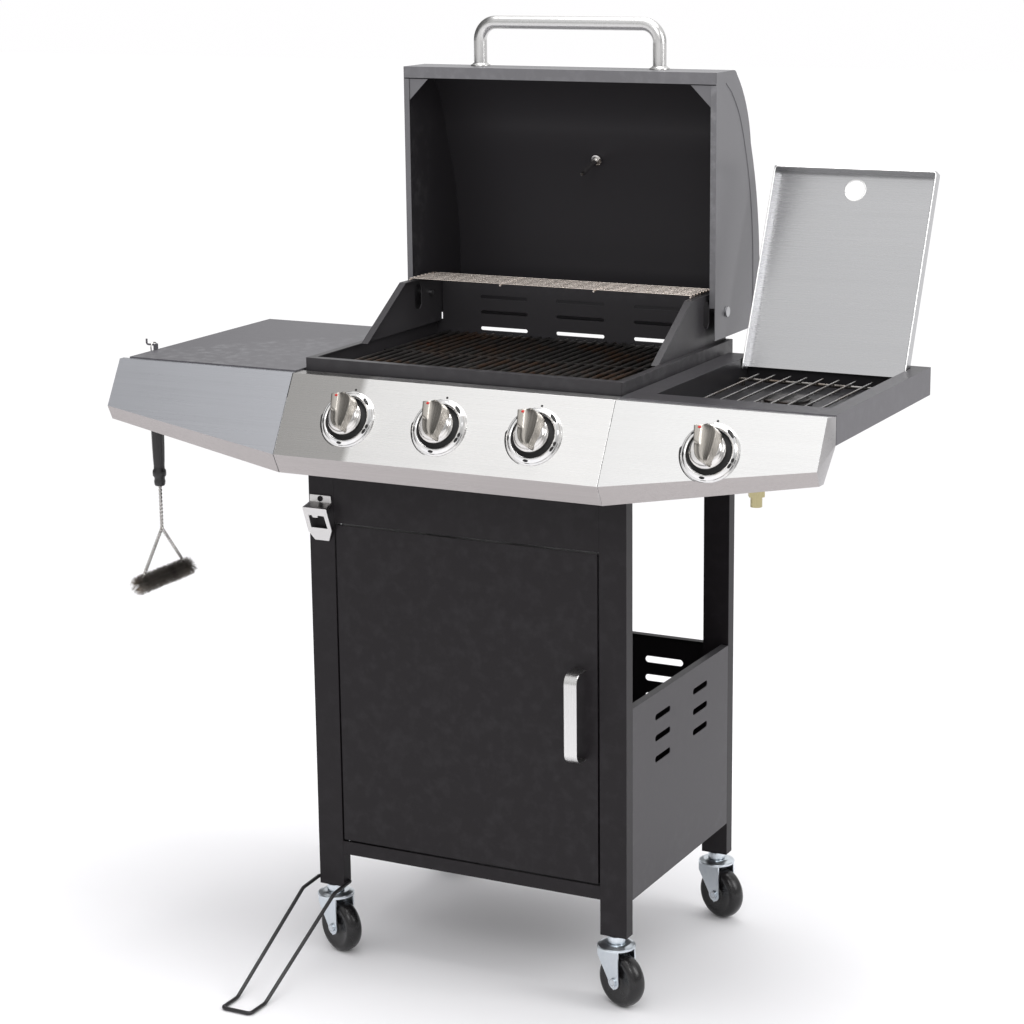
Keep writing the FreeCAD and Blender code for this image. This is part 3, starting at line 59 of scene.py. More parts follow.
# ------------------------------------------------------------------ materials
class Nodes:
    """A small helper that writes a node material."""

    def __init__(self, name):
        self.mat = bpy.data.materials.new(name)
        self.mat.use_nodes = True
        self.t = self.mat.node_tree
        self.t.nodes.clear()
        self.out = self.t.nodes.new("ShaderNodeOutputMaterial")
        self.bsdf = self.t.nodes.new("ShaderNodeBsdfPrincipled")
        self.t.links.new(self.bsdf.outputs[0], self.out.inputs[0])
        self.tc = self.t.nodes.new("ShaderNodeTexCoord")

    def coords(self, scale=(1, 1, 1), rot=(0, 0, 0), loc=(0, 0, 0)):
        m = self.t.nodes.new("ShaderNodeMapping")
        m.inputs["Scale"].default_value = scale
        m.inputs["Rotation"].default_value = rot
        m.inputs["Location"].default_value = loc
        self.t.links.new(self.tc.outputs["Object"], m.inputs["Vector"])
        return m.outputs[0]

    def noise(self, scale, vec=None, detail=4.0, rough=0.55, dist=0.0):
        n = self.t.nodes.new("ShaderNodeTexNoise")
        n.inputs["Scale"].default_value = scale
        n.inputs["Detail"].default_value = detail
        n.inputs["Roughness"].default_value = rough
        n.inputs["Distortion"].default_value = dist
        self.t.links.new(vec or self.tc.outputs["Object"], n.inputs["Vector"])
        return n.outputs["Fac"]

    def voronoi(self, scale, vec=None):
        n = self.t.nodes.new("ShaderNodeTexVoronoi")
        n.inputs["Scale"].default_value = scale
        self.t.links.new(vec or self.tc.outputs["Object"], n.inputs["Vector"])
        return n.outputs["Distance"]

    def wave(self, scale, vec=None, direction="X", dist=0.0):
        n = self.t.nodes.new("ShaderNodeTexWave")
        n.bands_direction = direction
        n.inputs["Scale"].default_value = scale
        n.inputs["Distortion"].default_value = dist
        self.t.links.new(vec or self.tc.outputs["Object"], n.inputs["Vector"])
        return n.outputs["Fac"]

    def ramp(self, fac, stops):
        r = self.t.nodes.new("ShaderNodeValToRGB")
        e = r.color_ramp.elements
        e[0].position, e[0].color = stops[0][0], tuple(stops[0][1]) + (1,)
        e[1].position, e[1].color = stops[-1][0], tuple(stops[-1][1]) + (1,)
        for p, c in stops[1:-1]:
            k = e.new(p)
            k.color = tuple(c) + (1,)
        self.t.links.new(fac, r.inputs[0])
        return r.outputs["Color"]

    def span(self, fac, lo, hi, f0=0.0, f1=1.0):
        m = self.t.nodes.new("ShaderNodeMapRange")
        m.clamp = True
        m.inputs["From Min"].default_value = f0
        m.inputs["From Max"].default_value = f1
        m.inputs["To Min"].default_value = lo
        m.inputs["To Max"].default_value = hi
        self.t.links.new(fac, m.inputs["Value"])
        return m.outputs[0]

    def math(self, op, a, b):
        m = self.t.nodes.new("ShaderNodeMath")
        m.operation = op
        for i, v in enumerate((a, b)):
            if isinstance(v, (int, float)):
                m.inputs[i].default_value = v
            else:
                self.t.links.new(v, m.inputs[i])
        return m.outputs[0]

    def mix(self, fac, a, b, mode="MIX"):
        m = self.t.nodes.new("ShaderNodeMix")
        m.data_type = "RGBA"
        m.blend_type = mode
        for sock, v in ((m.inputs[0], fac), (m.inputs[6], a), (m.inputs[7], b)):
            if isinstance(v, (int, float)):
                sock.default_value = v
            elif isinstance(v, (tuple, list)):
                sock.default_value = tuple(v) + (1,) if len(v) == 3 else v
            else:
                self.t.links.new(v, sock)
        return m.outputs[2]

    def bump(self, height, strength=0.2, dist=0.0005, normal=None):
        b = self.t.nodes.new("ShaderNodeBump")
        b.inputs["Strength"].default_value = strength
        b.inputs["Distance"].default_value = dist
        self.t.links.new(height, b.inputs["Height"])
        if normal is not None:
            self.t.links.new(normal, b.inputs["Normal"])
        return b.outputs[0]

    def axis(self, which):
        s = self.t.nodes.new("ShaderNodeSeparateXYZ")
        self.t.links.new(self.tc.outputs["Object"], s.inputs[0])
        return s.outputs[which]

    def edges(self, lo=0.5, hi=0.56):
        g = self.t.nodes.new("ShaderNodeNewGeometry")
        return self.span(g.outputs["Pointiness"], 0.0, 1.0, lo, hi)

    def set(self, **kw):
        for k, v in kw.items():
            s = self.bsdf.inputs[k.replace("_", " ")]
            if isinstance(v, (int, float)):
                s.default_value = v
            elif isinstance(v, (tuple, list)):
                s.default_value = tuple(v) + (1,) if len(v) == 3 else v
            else:
                self.t.links.new(v, s)
        return self.mat


def painted(name, color, rough=0.42, peel=900.0, peel_s=0.12, coat=0.0, edge_wear_and_highlight=(0.33, 0.33, 0.34), metallic=0.0, var=0.014, spec=0.22, rvar=0.015):
    """Powder coat or enamel: fine orange peel, cloudy tone, dust, and rubbed edges whose lighter colour is partly a
    painted edge highlight.
    """
    n = Nodes(name)
    cloud = n.noise(5.0, detail=3.0)
    fine = n.noise(peel, detail=2.0)
    mid = n.noise(60.0, detail=5.0)
    dark = tuple(c * (1 - var) for c in color)
    light = tuple(min(1.0, c * (1 + var)) for c in color)
    col = n.ramp(cloud, [(0.3, dark), (0.7, light)])
    speck = n.span(n.noise(600.0, detail=6.0), 0.0, 1.0, 0.68, 0.80)
    col = n.mix(n.math("MULTIPLY", speck, 0.06), col, tuple(min(1.0, c * 1.6 + 0.01) for c in color))
    # convex edges get a lighter colour: partly rubbed wear, partly a painted highlight along the edges
    worn_and_highlit_edge = n.math("MULTIPLY", n.edges(0.545, 0.62), n.span(mid, 0.0, 0.6, 0.46, 0.72))
    col = n.mix(worn_and_highlit_edge, col, edge_wear_and_highlight)
    r = n.span(mid, rough - rvar, rough + rvar, 0.3, 0.7)
    h = n.math("ADD", fine, n.math("MULTIPLY", n.noise(peel * 0.35, detail=2.0), 0.7))
    return n.set(Base_Color=col, Roughness=r, Metallic=metallic, Normal=n.bump(h, peel_s, 0.0004), Coat_Weight=coat, Coat_Roughness=0.2, Specular_IOR_Level=spec)


def brushed(name, color, rough=0.26, along="x", streak=0.10, tint=0.05, metallic=1.0, smudge=0.05, scale=1.0, shade=None):
    """Brushed stainless: hair lines along one axis, soft bands, faint smudges."""
    n = Nodes(name)
    k = {"x": (1.2, 420, 420), "y": (420, 1.2, 420), "z": (420, 420, 1.2), "face": (420, 6.0, 6.0)}[along]
    k = tuple(v * scale for v in k)
    k2 = {"x": (0.5, 46, 46), "y": (46, 0.5, 46), "z": (46, 46, 0.5), "face": (46, 1.0, 1.0)}[along]
    hair = n.noise(3.0, n.coords(k), detail=3.0, rough=0.7)
    band = n.noise(2.0, n.coords(k2), detail=2.0)
    blot = n.noise(7.0, detail=4.0, rough=0.6)
    lo = tuple(c * (1 - streak) for c in color)
    hi = tuple(min(1.0, c * (1 + streak)) for c in color)
    col = n.ramp(hair, [(0.28, lo), (0.72, hi)])
    col = n.mix(n.span(band, 0.0, 0.5, 0.3, 0.8), col, tuple(min(1.0, c * (1 + tint)) for c in color))
    if shade:
        # painted shade: the colour is darkened to the left of a line across the sheet, standing in for a darker
        # reflection
        x0, x1, low = shade
        side = n.math("ADD", n.axis(0), n.math("MULTIPLY", n.axis(2), -0.048))
        col = n.mix(1.0, col, n.ramp(n.span(side, 0.0, 1.0, x0, x1), [(0.0, (low, low * 0.985, low * 0.97)), (1.0, (1.0, 1.0, 1.0))]), "MULTIPLY")
    r1 = n.span(hair, rough - 0.06, rough + 0.07, 0.25, 0.75)
    r = n.math("ADD", r1, n.span(blot, 0.0, smudge, 0.45, 0.75))
    h = n.math("ADD", hair, n.math("MULTIPLY", band, 0.4))
    return n.set(Base_Color=col, Roughness=r, Metallic=metallic, Normal=n.bump(h, 0.07, 0.0002))


def plated(name, color, rough=0.12, blue=0.0, wavy=40.0, wav_s=0.05, rmax=0.10):
    """Bright plating: slight waviness, faint tarnish, tiny pits."""
    n = Nodes(name)
    w = n.noise(wavy, detail=2.0)
    tar = n.noise(110.0, detail=5.0)
    alt = (color[0] * (0.92 - blue), color[1] * 0.93, min(1.0, color[2] * (0.95 + blue)))
    col = n.ramp(tar, [(0.35, color), (0.72, alt)])
    r = n.span(tar, rough, rough + rmax, 0.3, 0.8)
    h = n.math("ADD", w, n.math("MULTIPLY", n.noise(700.0, detail=2.0), 0.12))
    return n.set(Base_Color=col, Roughness=r, Metallic=1.0, Normal=n.bump(h, wav_s, 0.0006))


def plastic(name, color, rough=0.35, grain=1200.0, grain_s=0.1, var=0.15):
    n = Nodes(name)
    a = n.noise(18.0, detail=3.0)
    col = n.ramp(a, [(0.3, tuple(c * (1 - var) for c in color)), (0.7, tuple(c * (1 + var) for c in color))])
    scuff = n.span(n.noise(90.0, n.coords((1, 1, 3)), detail=6.0), 0.0, 1.0, 0.62, 0.8)
    col = n.mix(n.math("MULTIPLY", scuff, 0.25), col, tuple(c * 2.2 + 0.01 for c in color))
    r = n.math("ADD", n.span(a, rough - 0.04, rough + 0.05, 0.3, 0.7), n.math("MULTIPLY", scuff, 0.12))
    return n.set(Base_Color=col, Roughness=r, Normal=n.bump(n.noise(grain, detail=2.0), grain_s, 0.0003))


def heated(name, color, hot=(0.16, 0.075, 0.03), rough=0.45, metallic=0.85):
    """Rod or tube that has seen fire: soot, straw tints, rough scale."""
    n = Nodes(name)
    big = n.noise(9.0, detail=4.0, dist=0.6)
    mid = n.noise(55.0, detail=5.0)
    col = n.ramp(big, [(0.30, tuple(c * 0.55 for c in color)), (0.48, color), (0.62, hot), (0.78, tuple(c * 0.8 for c in color))])
    soot = n.span(mid, 0.0, 0.8, 0.50, 0.72)
    col = n.mix(soot, col, (0.012, 0.011, 0.011))
    r = n.span(mid, rough - 0.1, rough + 0.2, 0.3, 0.75)
    return n.set(Base_Color=col, Roughness=r, Metallic=metallic, Normal=n.bump(n.noise(420.0, detail=4.0), 0.25, 0.0005))


def cast(name, color, rough=0.5, metallic=0.6):
    n = Nodes(name)
    mid = n.noise(120.0, detail=6.0)
    pits = n.voronoi(520.0)
    col = n.ramp(mid, [(0.3, tuple(c * 0.7 for c in color)), (0.7, tuple(min(1, c * 1.15) for c in color))])
    h = n.math("ADD", mid, n.math("MULTIPLY", pits, 0.5))
    return n.set(Base_Color=col, Roughness=n.span(mid, rough - 0.08, rough + 0.12, 0.3, 0.7), Metallic=metallic, Normal=n.bump(h, 0.3, 0.0006))


M = {
    "frame_paint": painted("frame_paint", (0.0128, 0.0108, 0.0124), 0.44, edge_wear_and_highlight=(0.036, 0.034, 0.037), spec=0.19),
    "side_paint": painted("side_paint", (0.050, 0.047, 0.0515), 0.46, edge_wear_and_highlight=(0.10, 0.10, 0.104)),
    "shelf_paint": painted("shelf_paint", (0.104, 0.101, 0.110), 0.38, edge_wear_and_highlight=(0.2, 0.2, 0.21), metallic=0.2),
    "hood_paint": painted("hood_paint", (0.172, 0.170, 0.179), 0.38, edge_wear_and_highlight=(0.3, 0.3, 0.31), metallic=0.3),
    "firebox_enamel": painted("firebox_enamel", (0.040, 0.038, 0.041), 0.36, peel=500.0, peel_s=0.16, edge_wear_and_highlight=(0.14, 0.14, 0.145), metallic=0.1),
    "panel_steel": brushed("panel_steel", (0.90, 0.895, 0.89), 0.27, "x", streak=0.045),
    # the left part of the console gets a darkened colour: painted shade for a darker reflection
    "console_steel": brushed("console_steel", (0.93, 0.92, 0.91), 0.25, "x", streak=0.035, shade=(-0.1428 - 0.048 * 0.846, -0.1308 - 0.048 * 0.846, 0.50)),
    "handle_steel": brushed("handle_steel", (0.66, 0.655, 0.65), 0.27, "z", smudge=0.02),
    "lid_steel": brushed("lid_steel", (0.50, 0.50, 0.51), 0.25, "x", streak=0.03, smudge=0.03),
    "knob_chrome": plated("knob_chrome", (0.72, 0.70, 0.68), 0.12),
    "bright_wire": plated("bright_wire", (0.62, 0.60, 0.58), 0.2, wavy=120.0),
    "grate_steel": heated("grate_steel", (0.060, 0.056, 0.054), hot=(0.085, 0.045, 0.025)),
    "well_wire": heated("well_wire", (0.13, 0.125, 0.12), hot=(0.08, 0.06, 0.045), rough=0.24),
    "rack_wire": plated("rack_wire", (0.72, 0.64, 0.58), 0.24, wavy=120.0),
    "burner_steel": heated("burner_steel", (0.28, 0.26, 0.24)),
    "tray_steel": brushed("tray_steel", (0.55, 0.55, 0.55), 0.36, "y", metallic=0.9),
    "valve_alloy": cast("valve_alloy", (0.45, 0.45, 0.44), 0.45, 0.9),
    "pipe_alloy": brushed("pipe_alloy", (0.52, 0.52, 0.53), 0.35, "x"),
    "inlet_brass": brushed("inlet_brass", (0.46, 0.41, 0.24), 0.28, "z"),
    "zinc_plate": plated("zinc_plate", (0.72, 0.77, 0.81), 0.28, blue=0.0, wavy=40.0, wav_s=0.015, rmax=0.02),
    "wheel_plastic": plastic("wheel_plastic", (0.0080, 0.0074, 0.0080), 0.27, grain_s=0.05),
    "grip_plastic": plastic("grip_plastic", (0.016, 0.015, 0.016), 0.40, grain_s=0.25),
    "brush_wire": heated("brush_wire", (0.23, 0.21, 0.19), hot=(0.24, 0.18, 0.12), rough=0.42),
    "pin_steel": plated("pin_steel", (0.50, 0.50, 0.51), 0.3),
}
# the left fascia gets a darker copy of the same steel: painted shade for its darker reflection
M["fascia_painted_shade"] = brushed("fascia_painted_shade", (0.62, 0.63, 0.67), 0.30, "x", streak=0.05)
M["hood_black"] = painted("hood_black", (0.029, 0.027, 0.030), 0.42, peel=500.0, edge_wear_and_highlight=(0.07, 0.07, 0.07))
# darker copy of the face steel for the lip's underside: painted shade
M["panel_lip_painted_shade"] = brushed("panel_lip_painted_shade", (0.40, 0.375, 0.37), 0.30, "x")
# darker copy of the panel steel for the tilted end facets: painted shade
M["end_steel_painted_shade"] = brushed("end_steel_painted_shade", (0.44, 0.43, 0.435), 0.30, "y", streak=0.05)
M["opener_steel"] = brushed("opener_steel", (0.60, 0.59, 0.585), 0.33, "z", streak=0.05)
M["knob_nickel"] = brushed("knob_nickel", (0.50, 0.47, 0.43), 0.26, "face", streak=0.14, scale=0.6)
M["bezel_chrome"] = plated("bezel_chrome", (0.80, 0.79, 0.78), 0.10)
# darker copy of the shelf paint for the tray's top faces and left border: painted shade
M["tray_painted_shade"] = painted("tray_painted_shade", (0.046, 0.044, 0.048), 0.34, edge_wear_and_highlight=(0.13, 0.13, 0.135), metallic=0.15)
# black for printed marks, also used for painted shade in the knob gaps and bezel holes
M["print_and_shade_black"] = plastic("print_and_shade_black", (0.006, 0.0055, 0.0055), 0.62)
M["wire_black"] = plastic("wire_black", (0.014, 0.013, 0.014), 0.34, grain_s=0.06)
M["dial_white"] = plastic("dial_white", (0.75, 0.75, 0.73), 0.45, grain_s=0.02, var=0.03)
M["red_enamel"] = plastic("red_enamel", (0.50, 0.020, 0.015), 0.35, grain_s=0.02)
M["well_enamel"] = painted("well_enamel", (0.020, 0.019, 0.021), 0.32, peel=500.0, edge_wear_and_highlight=(0.1, 0.1, 0.1))
g = Nodes("dial_glass")
M["dial_glass"] = g.set(Base_Color=(0.95, 0.97, 0.97), Roughness=g.span(g.noise(40.0), 0.02, 0.06), Alpha=0.22, Coat_Weight=0.6)


# ----------------------------------------------------------------- mesh tools
def finish_mesh(name, mesh, mat, body, smooth=True, angle=40.0):
    o = bpy.data.objects.new(name, mesh)
    bpy.context.scene.collection.objects.link(o)
    mesh.materials.clear()
    for m in (mat if isinstance(mat, (list, tuple)) else [mat]):
        mesh.materials.append(m)
    if smooth:
        for p in mesh.polygons:
            p.use_smooth = True
        mesh.set_sharp_from_angle(angle=math.radians(angle))
    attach(o, body)
    return o


def make(name, verts, faces, mat, body, smooth=True, angle=40.0, matrix=None, indices=None):
    me = bpy.data.meshes.new(name)
    me.from_pydata([tuple(v) for v in verts], [], faces)
    if matrix is not None:
        me.transform(matrix)
    bm = bmesh.new()
    bm.from_mesh(me)
    bmesh.ops.recalc_face_normals(bm, faces=bm.faces)
    bm.to_mesh(me)
    bm.free()
    o = finish_mesh(name, me, mat, body, smooth, angle)
    if indices:
        for p, i in zip(o.data.polygons, indices):
            p.material_index = i
    return o


def apply_modifiers(o):
    dg = bpy.context.evaluated_depsgraph_get()
    me = bpy.data.meshes.new_from_object(o.evaluated_get(dg))
    old = o.data
    o.modifiers.clear()
    o.data = me
    bpy.data.meshes.remove(old)
    return o


def cleaned(node):
    """A copy of a CAD mesh with its flat regions joined into single faces."""
    me = NODES[node].data.copy()
    bm = bmesh.new()
    bm.from_mesh(me)
    bmesh.ops.remove_doubles(bm, verts=bm.verts, dist=1e-6)
    bmesh.ops.dissolve_limit(bm, angle_limit=math.radians(1.0), verts=bm.verts, edges=bm.edges, delimit={"NORMAL"})
    bm.to_mesh(me)
    bm.free()
    return me


def soften(node, width=0.0006, mat=None, segs=2, angle=30.0, paint=None):
    """The CAD piece again with its sharp edges rolled over."""
    me = cleaned(node)
    o = bpy.data.objects.new("v_" + node, me)
    bpy.context.scene.collection.objects.link(o)
    mats = mat if isinstance(mat, (list, tuple)) else [mat or M[SLOT[node]]]
    me.materials.clear()
    for m in mats:
        me.materials.append(m)
    if paint:
        for p in me.polygons:
            p.material_index = paint(p)
    else:
        for p in me.polygons:
            p.material_index = 0
    bv = o.modifiers.new("bevel", "BEVEL")
    bv.width = width
    bv.segments = segs
    bv.limit_method = "ANGLE"
    bv.angle_limit = math.radians(angle)
    bv.use_clamp_overlap = True
    bv.harden_normals = False
    apply_modifiers(o)
    for p in o.data.polygons:
        p.use_smooth = True
    wn = o.modifiers.new("normals", "WEIGHTED_NORMAL")
    wn.mode = "FACE_AREA"
    wn.weight = 100
    wn.thresh = 0.01
    apply_modifiers(o)
    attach(o, BODY[node])
    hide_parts(node)
    return o


def lathe(profile, n=96, close=True):
    """Turned surface about Z. profile is (radius, height); radius 0 closes a pole."""
    verts, faces, rings = [], [], []
    for r, z in profile:
        if r <= 1e-9:
            rings.append([len(verts)])
            verts.append((0, 0, z))
        else:
            rings.append(list(range(len(verts), len(verts) + n)))
            for i in range(n):
                a = 2 * math.pi * i / n
                verts.append((r * math.cos(a), r * math.sin(a), z))
    pairs = list(zip(rings[:-1], rings[1:]))
    if close and len(rings[0]) > 1 and len(rings[-1]) > 1:
        pairs.append((rings[-1], rings[0]))
    for a, b in pairs:
        for i in range(n):
            j = (i + 1) % n
            if len(a) == 1 and len(b) == 1:
                continue
            if len(a) == 1:
                faces.append((a[0], b[i], b[j]))
            elif len(b) == 1:
                faces.append((a[i], a[j], b[0]))
            else:
                faces.append((a[i], a[j], b[j], b[i]))
    return verts, faces


def frames_along(pts):
    """Parallel-transport frames along a polyline."""
    tan = []
    for i in range(len(pts)):
        a = pts[max(0, i - 1)]
        b = pts[min(len(pts) - 1, i + 1)]
        tan.append((b - a).normalized())
    up = Vector((0, 0, 1)) if abs(tan[0].z) < 0.9 else Vector((1, 0, 0))
    u = tan[0].cross(up).normalized()
    out = []
    for i, t in enumerate(tan):
        u = (u - t * u.dot(t)).normalized()
        out.append((pts[i], u, t.cross(u).normalized()))
    return out


def tube(pts, r, n=14, caps=True):
    verts, faces = [], []
    fr = frames_along(pts)
    rr = r if isinstance(r, (list, tuple)) else [r] * len(fr)
    for (p, u, v), rad in zip(fr, rr):
        for i in range(n):
            a = 2 * math.pi * i / n
            verts.append(p + u * (rad * math.cos(a)) + v * (rad * math.sin(a)))
    for k in range(len(fr) - 1):
        for i in range(n):
            j = (i + 1) % n
            faces.append((k * n + i, k * n + j, (k + 1) * n + j, (k + 1) * n + i))
    if caps:
        faces.append(tuple(range(n - 1, -1, -1)))
        faces.append(tuple(range((len(fr) - 1) * n, len(fr) * n)))
    return verts, faces


def join(*parts):
    verts, faces = [], []
    for v, f in parts:
        k = len(verts)
        verts += [Vector(p) for p in v]
        faces += [tuple(i + k for i in q) for q in f]
    return verts, faces


def moved(vf, matrix):
    return [matrix @ Vector(v) for v in vf[0]], vf[1]


def round_path(pts, bend, steps=10):
    p = [Vector(q) for q in pts]
    out = [p[0]]
    for i in range(1, len(p) - 1):
        r = bend[i - 1] if isinstance(bend, (list, tuple)) else bend
        u = (p[i - 1] - p[i]).normalized()
        w = (p[i + 1] - p[i]).normalized()
        ang = math.acos(max(-1, min(1, u.dot(w))))
        if ang > math.pi - 0.02:
            out.append(p[i])
            continue
        back = r / math.tan(ang / 2)
        c = p[i] + (u + w).normalized() * (r / math.sin(ang / 2))
        a = p[i] + u * back - c
        b = p[i] + w * back - c
        sweep = math.pi - ang
        for k in range(steps + 1):
            t = k / steps
            out.append(c + (a * math.sin((1 - t) * sweep) + b * math.sin(t * sweep)) / math.sin(sweep))
    out.append(p[-1])
    return out


def rot_to(z_dir, origin, x_hint=Vector((1, 0, 0))):
    z = z_dir.normalized()
    x = (x_hint - z * x_hint.dot(z)).normalized()
    y = z.cross(x)
    m = Matrix((x, y, z)).transposed().to_4x4()
    m.translation = origin
    return m


# --------------------------------------------------------------- sheet metal
for node, w in (("leg_front_left", 1.6), ("leg_front_right", 1.6), ("leg_rear_left", 1.6), ("leg_rear_right", 1.6),
                ("bottom_shelf", 0.5), ("front_apron", 0.5), ("side_panel_left", 0.5), ("side_panel_right", 0.5),
                ("back_panel", 0.5), ("frame_rails", 0.5), ("door", 0.55), ("firebox_back", 0.5), ("firebox_sides", 0.5), ("firebox_tub", 0.5),
                ("grease_tray", 0.45), ("left_shelf", 0.55), ("flame_tamers", 0.4), ("gas_valves", 0.7)):
    soften(node, w / 1000.0)


def door_pull():
    """Flat strap bent to the door at both ends, edges broken."""
    d, z0, z1, R, t = -32.0, 367.0, 502.0, 17.0, 2.5
    line = [(0.0, z0)]
    for i in range(13):
        a = math.radians(7.5 * i)
        line.append((d + R - R * math.sin(a), z0 + R - R * math.cos(a)))
    for i in range(13):
        a = math.radians(7.5 * i)
        line.append((d + R - R * math.cos(a), z1 - R + R * math.sin(a)))
    line.append((0.0, z1))
    ring = []
    mid = 0.5 * (z0 + z1)
    for i, (a, b) in enumerate(line):
        p0, p1 = line[max(0, i - 1)], line[min(len(line) - 1, i + 1)]
        ta, tb = p1[0] - p0[0], p1[1] - p0[1]
        L = math.hypot(ta, tb)
        ring.append(((a, b), (tb / L, -ta / L)))
    verts, faces = [], []
    for (a, b), (na, nb) in ring:
        # four edges of the strap, each broken by a small flat
        for x, q in ((174.6, 0.0), (193.4, 0.0), (194.0, 0.6), (194.0, t - 0.6), (193.4, t), (174.6, t), (174.0, t - 0.6), (174.0, 0.6)):
            verts.append(C(x, a + na * q, b + nb * q))
    m = 8
    for i in range(len(ring) - 1):
        for j in range(m):
            k = (j + 1) % m
            faces.append((i * m + j, i * m + k, (i + 1) * m + k, (i + 1) * m + j))
    faces.append(tuple(range(m)))
    faces.append(tuple((len(ring) - 1) * m + j for j in range(m)))
    o = make("v_door_handle", verts, faces, M["handle_steel"], BODY["door_handle"], angle=38)
    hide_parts("door_handle")


door_pull()
soften("bottle_opener", 0.0005, mat=M["opener_steel"])


def hood_paint_side(p):
    """Outer skin grey, the fire side black."""
    c, n = p.center, p.normal
    out = Vector((0, c.y - C(0, 352, 0).y, c.z - 1.10))
    return 0 if n.dot(out) > 0 or abs(n.x) > 0.7 else 1


soften("hood_shell", 0.0005, mat=[M["hood_paint"], M["hood_black"]], paint=hood_paint_side)
soften("hood_end_caps", 0.0005, mat=[M["hood_paint"], M["hood_black"]], paint=lambda p: 1 if p.normal.x * (1 if p.center.x > 0 else -1) < -0.7 and p.normal.y > -0.5 else 0)


# index 2 puts a darker copy of the paint on the tray's top faces and its left border: painted shade; index 1 is the
# well's enamel
def tray_paint(p):
    c = p.center
    if 0.2925 < c.x < 0.5475 and C(0, 18, 0).y < c.y < C(0, 351, 0).y and c.z < 0.9022:
        return 1
    return 2 if p.normal.z > 0.8 or c.x < 0.2925 else 0


soften("side_burner_tray", 0.0005, mat=[M["shelf_paint"], M["well_enamel"], M["tray_painted_shade"]], paint=tray_paint)


def lip_shade_faces(p):
    """Faces on the underside of the lip get a darker copy of the steel: painted shade."""
    return 1 if p.normal.z < -0.2 or p.center.z < 0.7915 - max(0.0, (abs(p.center.x) - 0.257)) * -0.141 and p.normal.z < 0 else 0


soften("control_panel", 0.0006, mat=[M["console_steel"], M["panel_lip_painted_shade"]], paint=lip_shade_faces)
# end facets and the lip's underside get darker copies of the steel: painted shade
soften("fascia_right", 0.0006, mat=[M["panel_steel"], M["panel_lip_painted_shade"], M["end_steel_painted_shade"]], paint=lambda p: 2 if abs(p.normal.x) > 0.35 else lip_shade_faces(p))
soften("fascia_left", 0.0006, mat=[M["fascia_painted_shade"], M["panel_lip_painted_shade"], M["end_steel_painted_shade"]], paint=lambda p: 2 if abs(p.normal.x) > 0.35 else lip_shade_faces(p))
for k in ("front_left", "front_right", "rear_left", "rear_right"):
    soften("caster_fork_" + k, 0.0006)

# ------------------------------------------------------------- knob positions
TILT = math.radians(61.08)
N = Vector((0, -math.sin(TILT), math.cos(TILT)))
UP = Vector((0, math.cos(TILT), math.sin(TILT)))
KX = {"1": -148.0, "2": 0.0, "3": 148.0, "4": 409.0}


def knob_frame(k):
    return rot_to(N, C(KX[k], -64.17, 846.0))


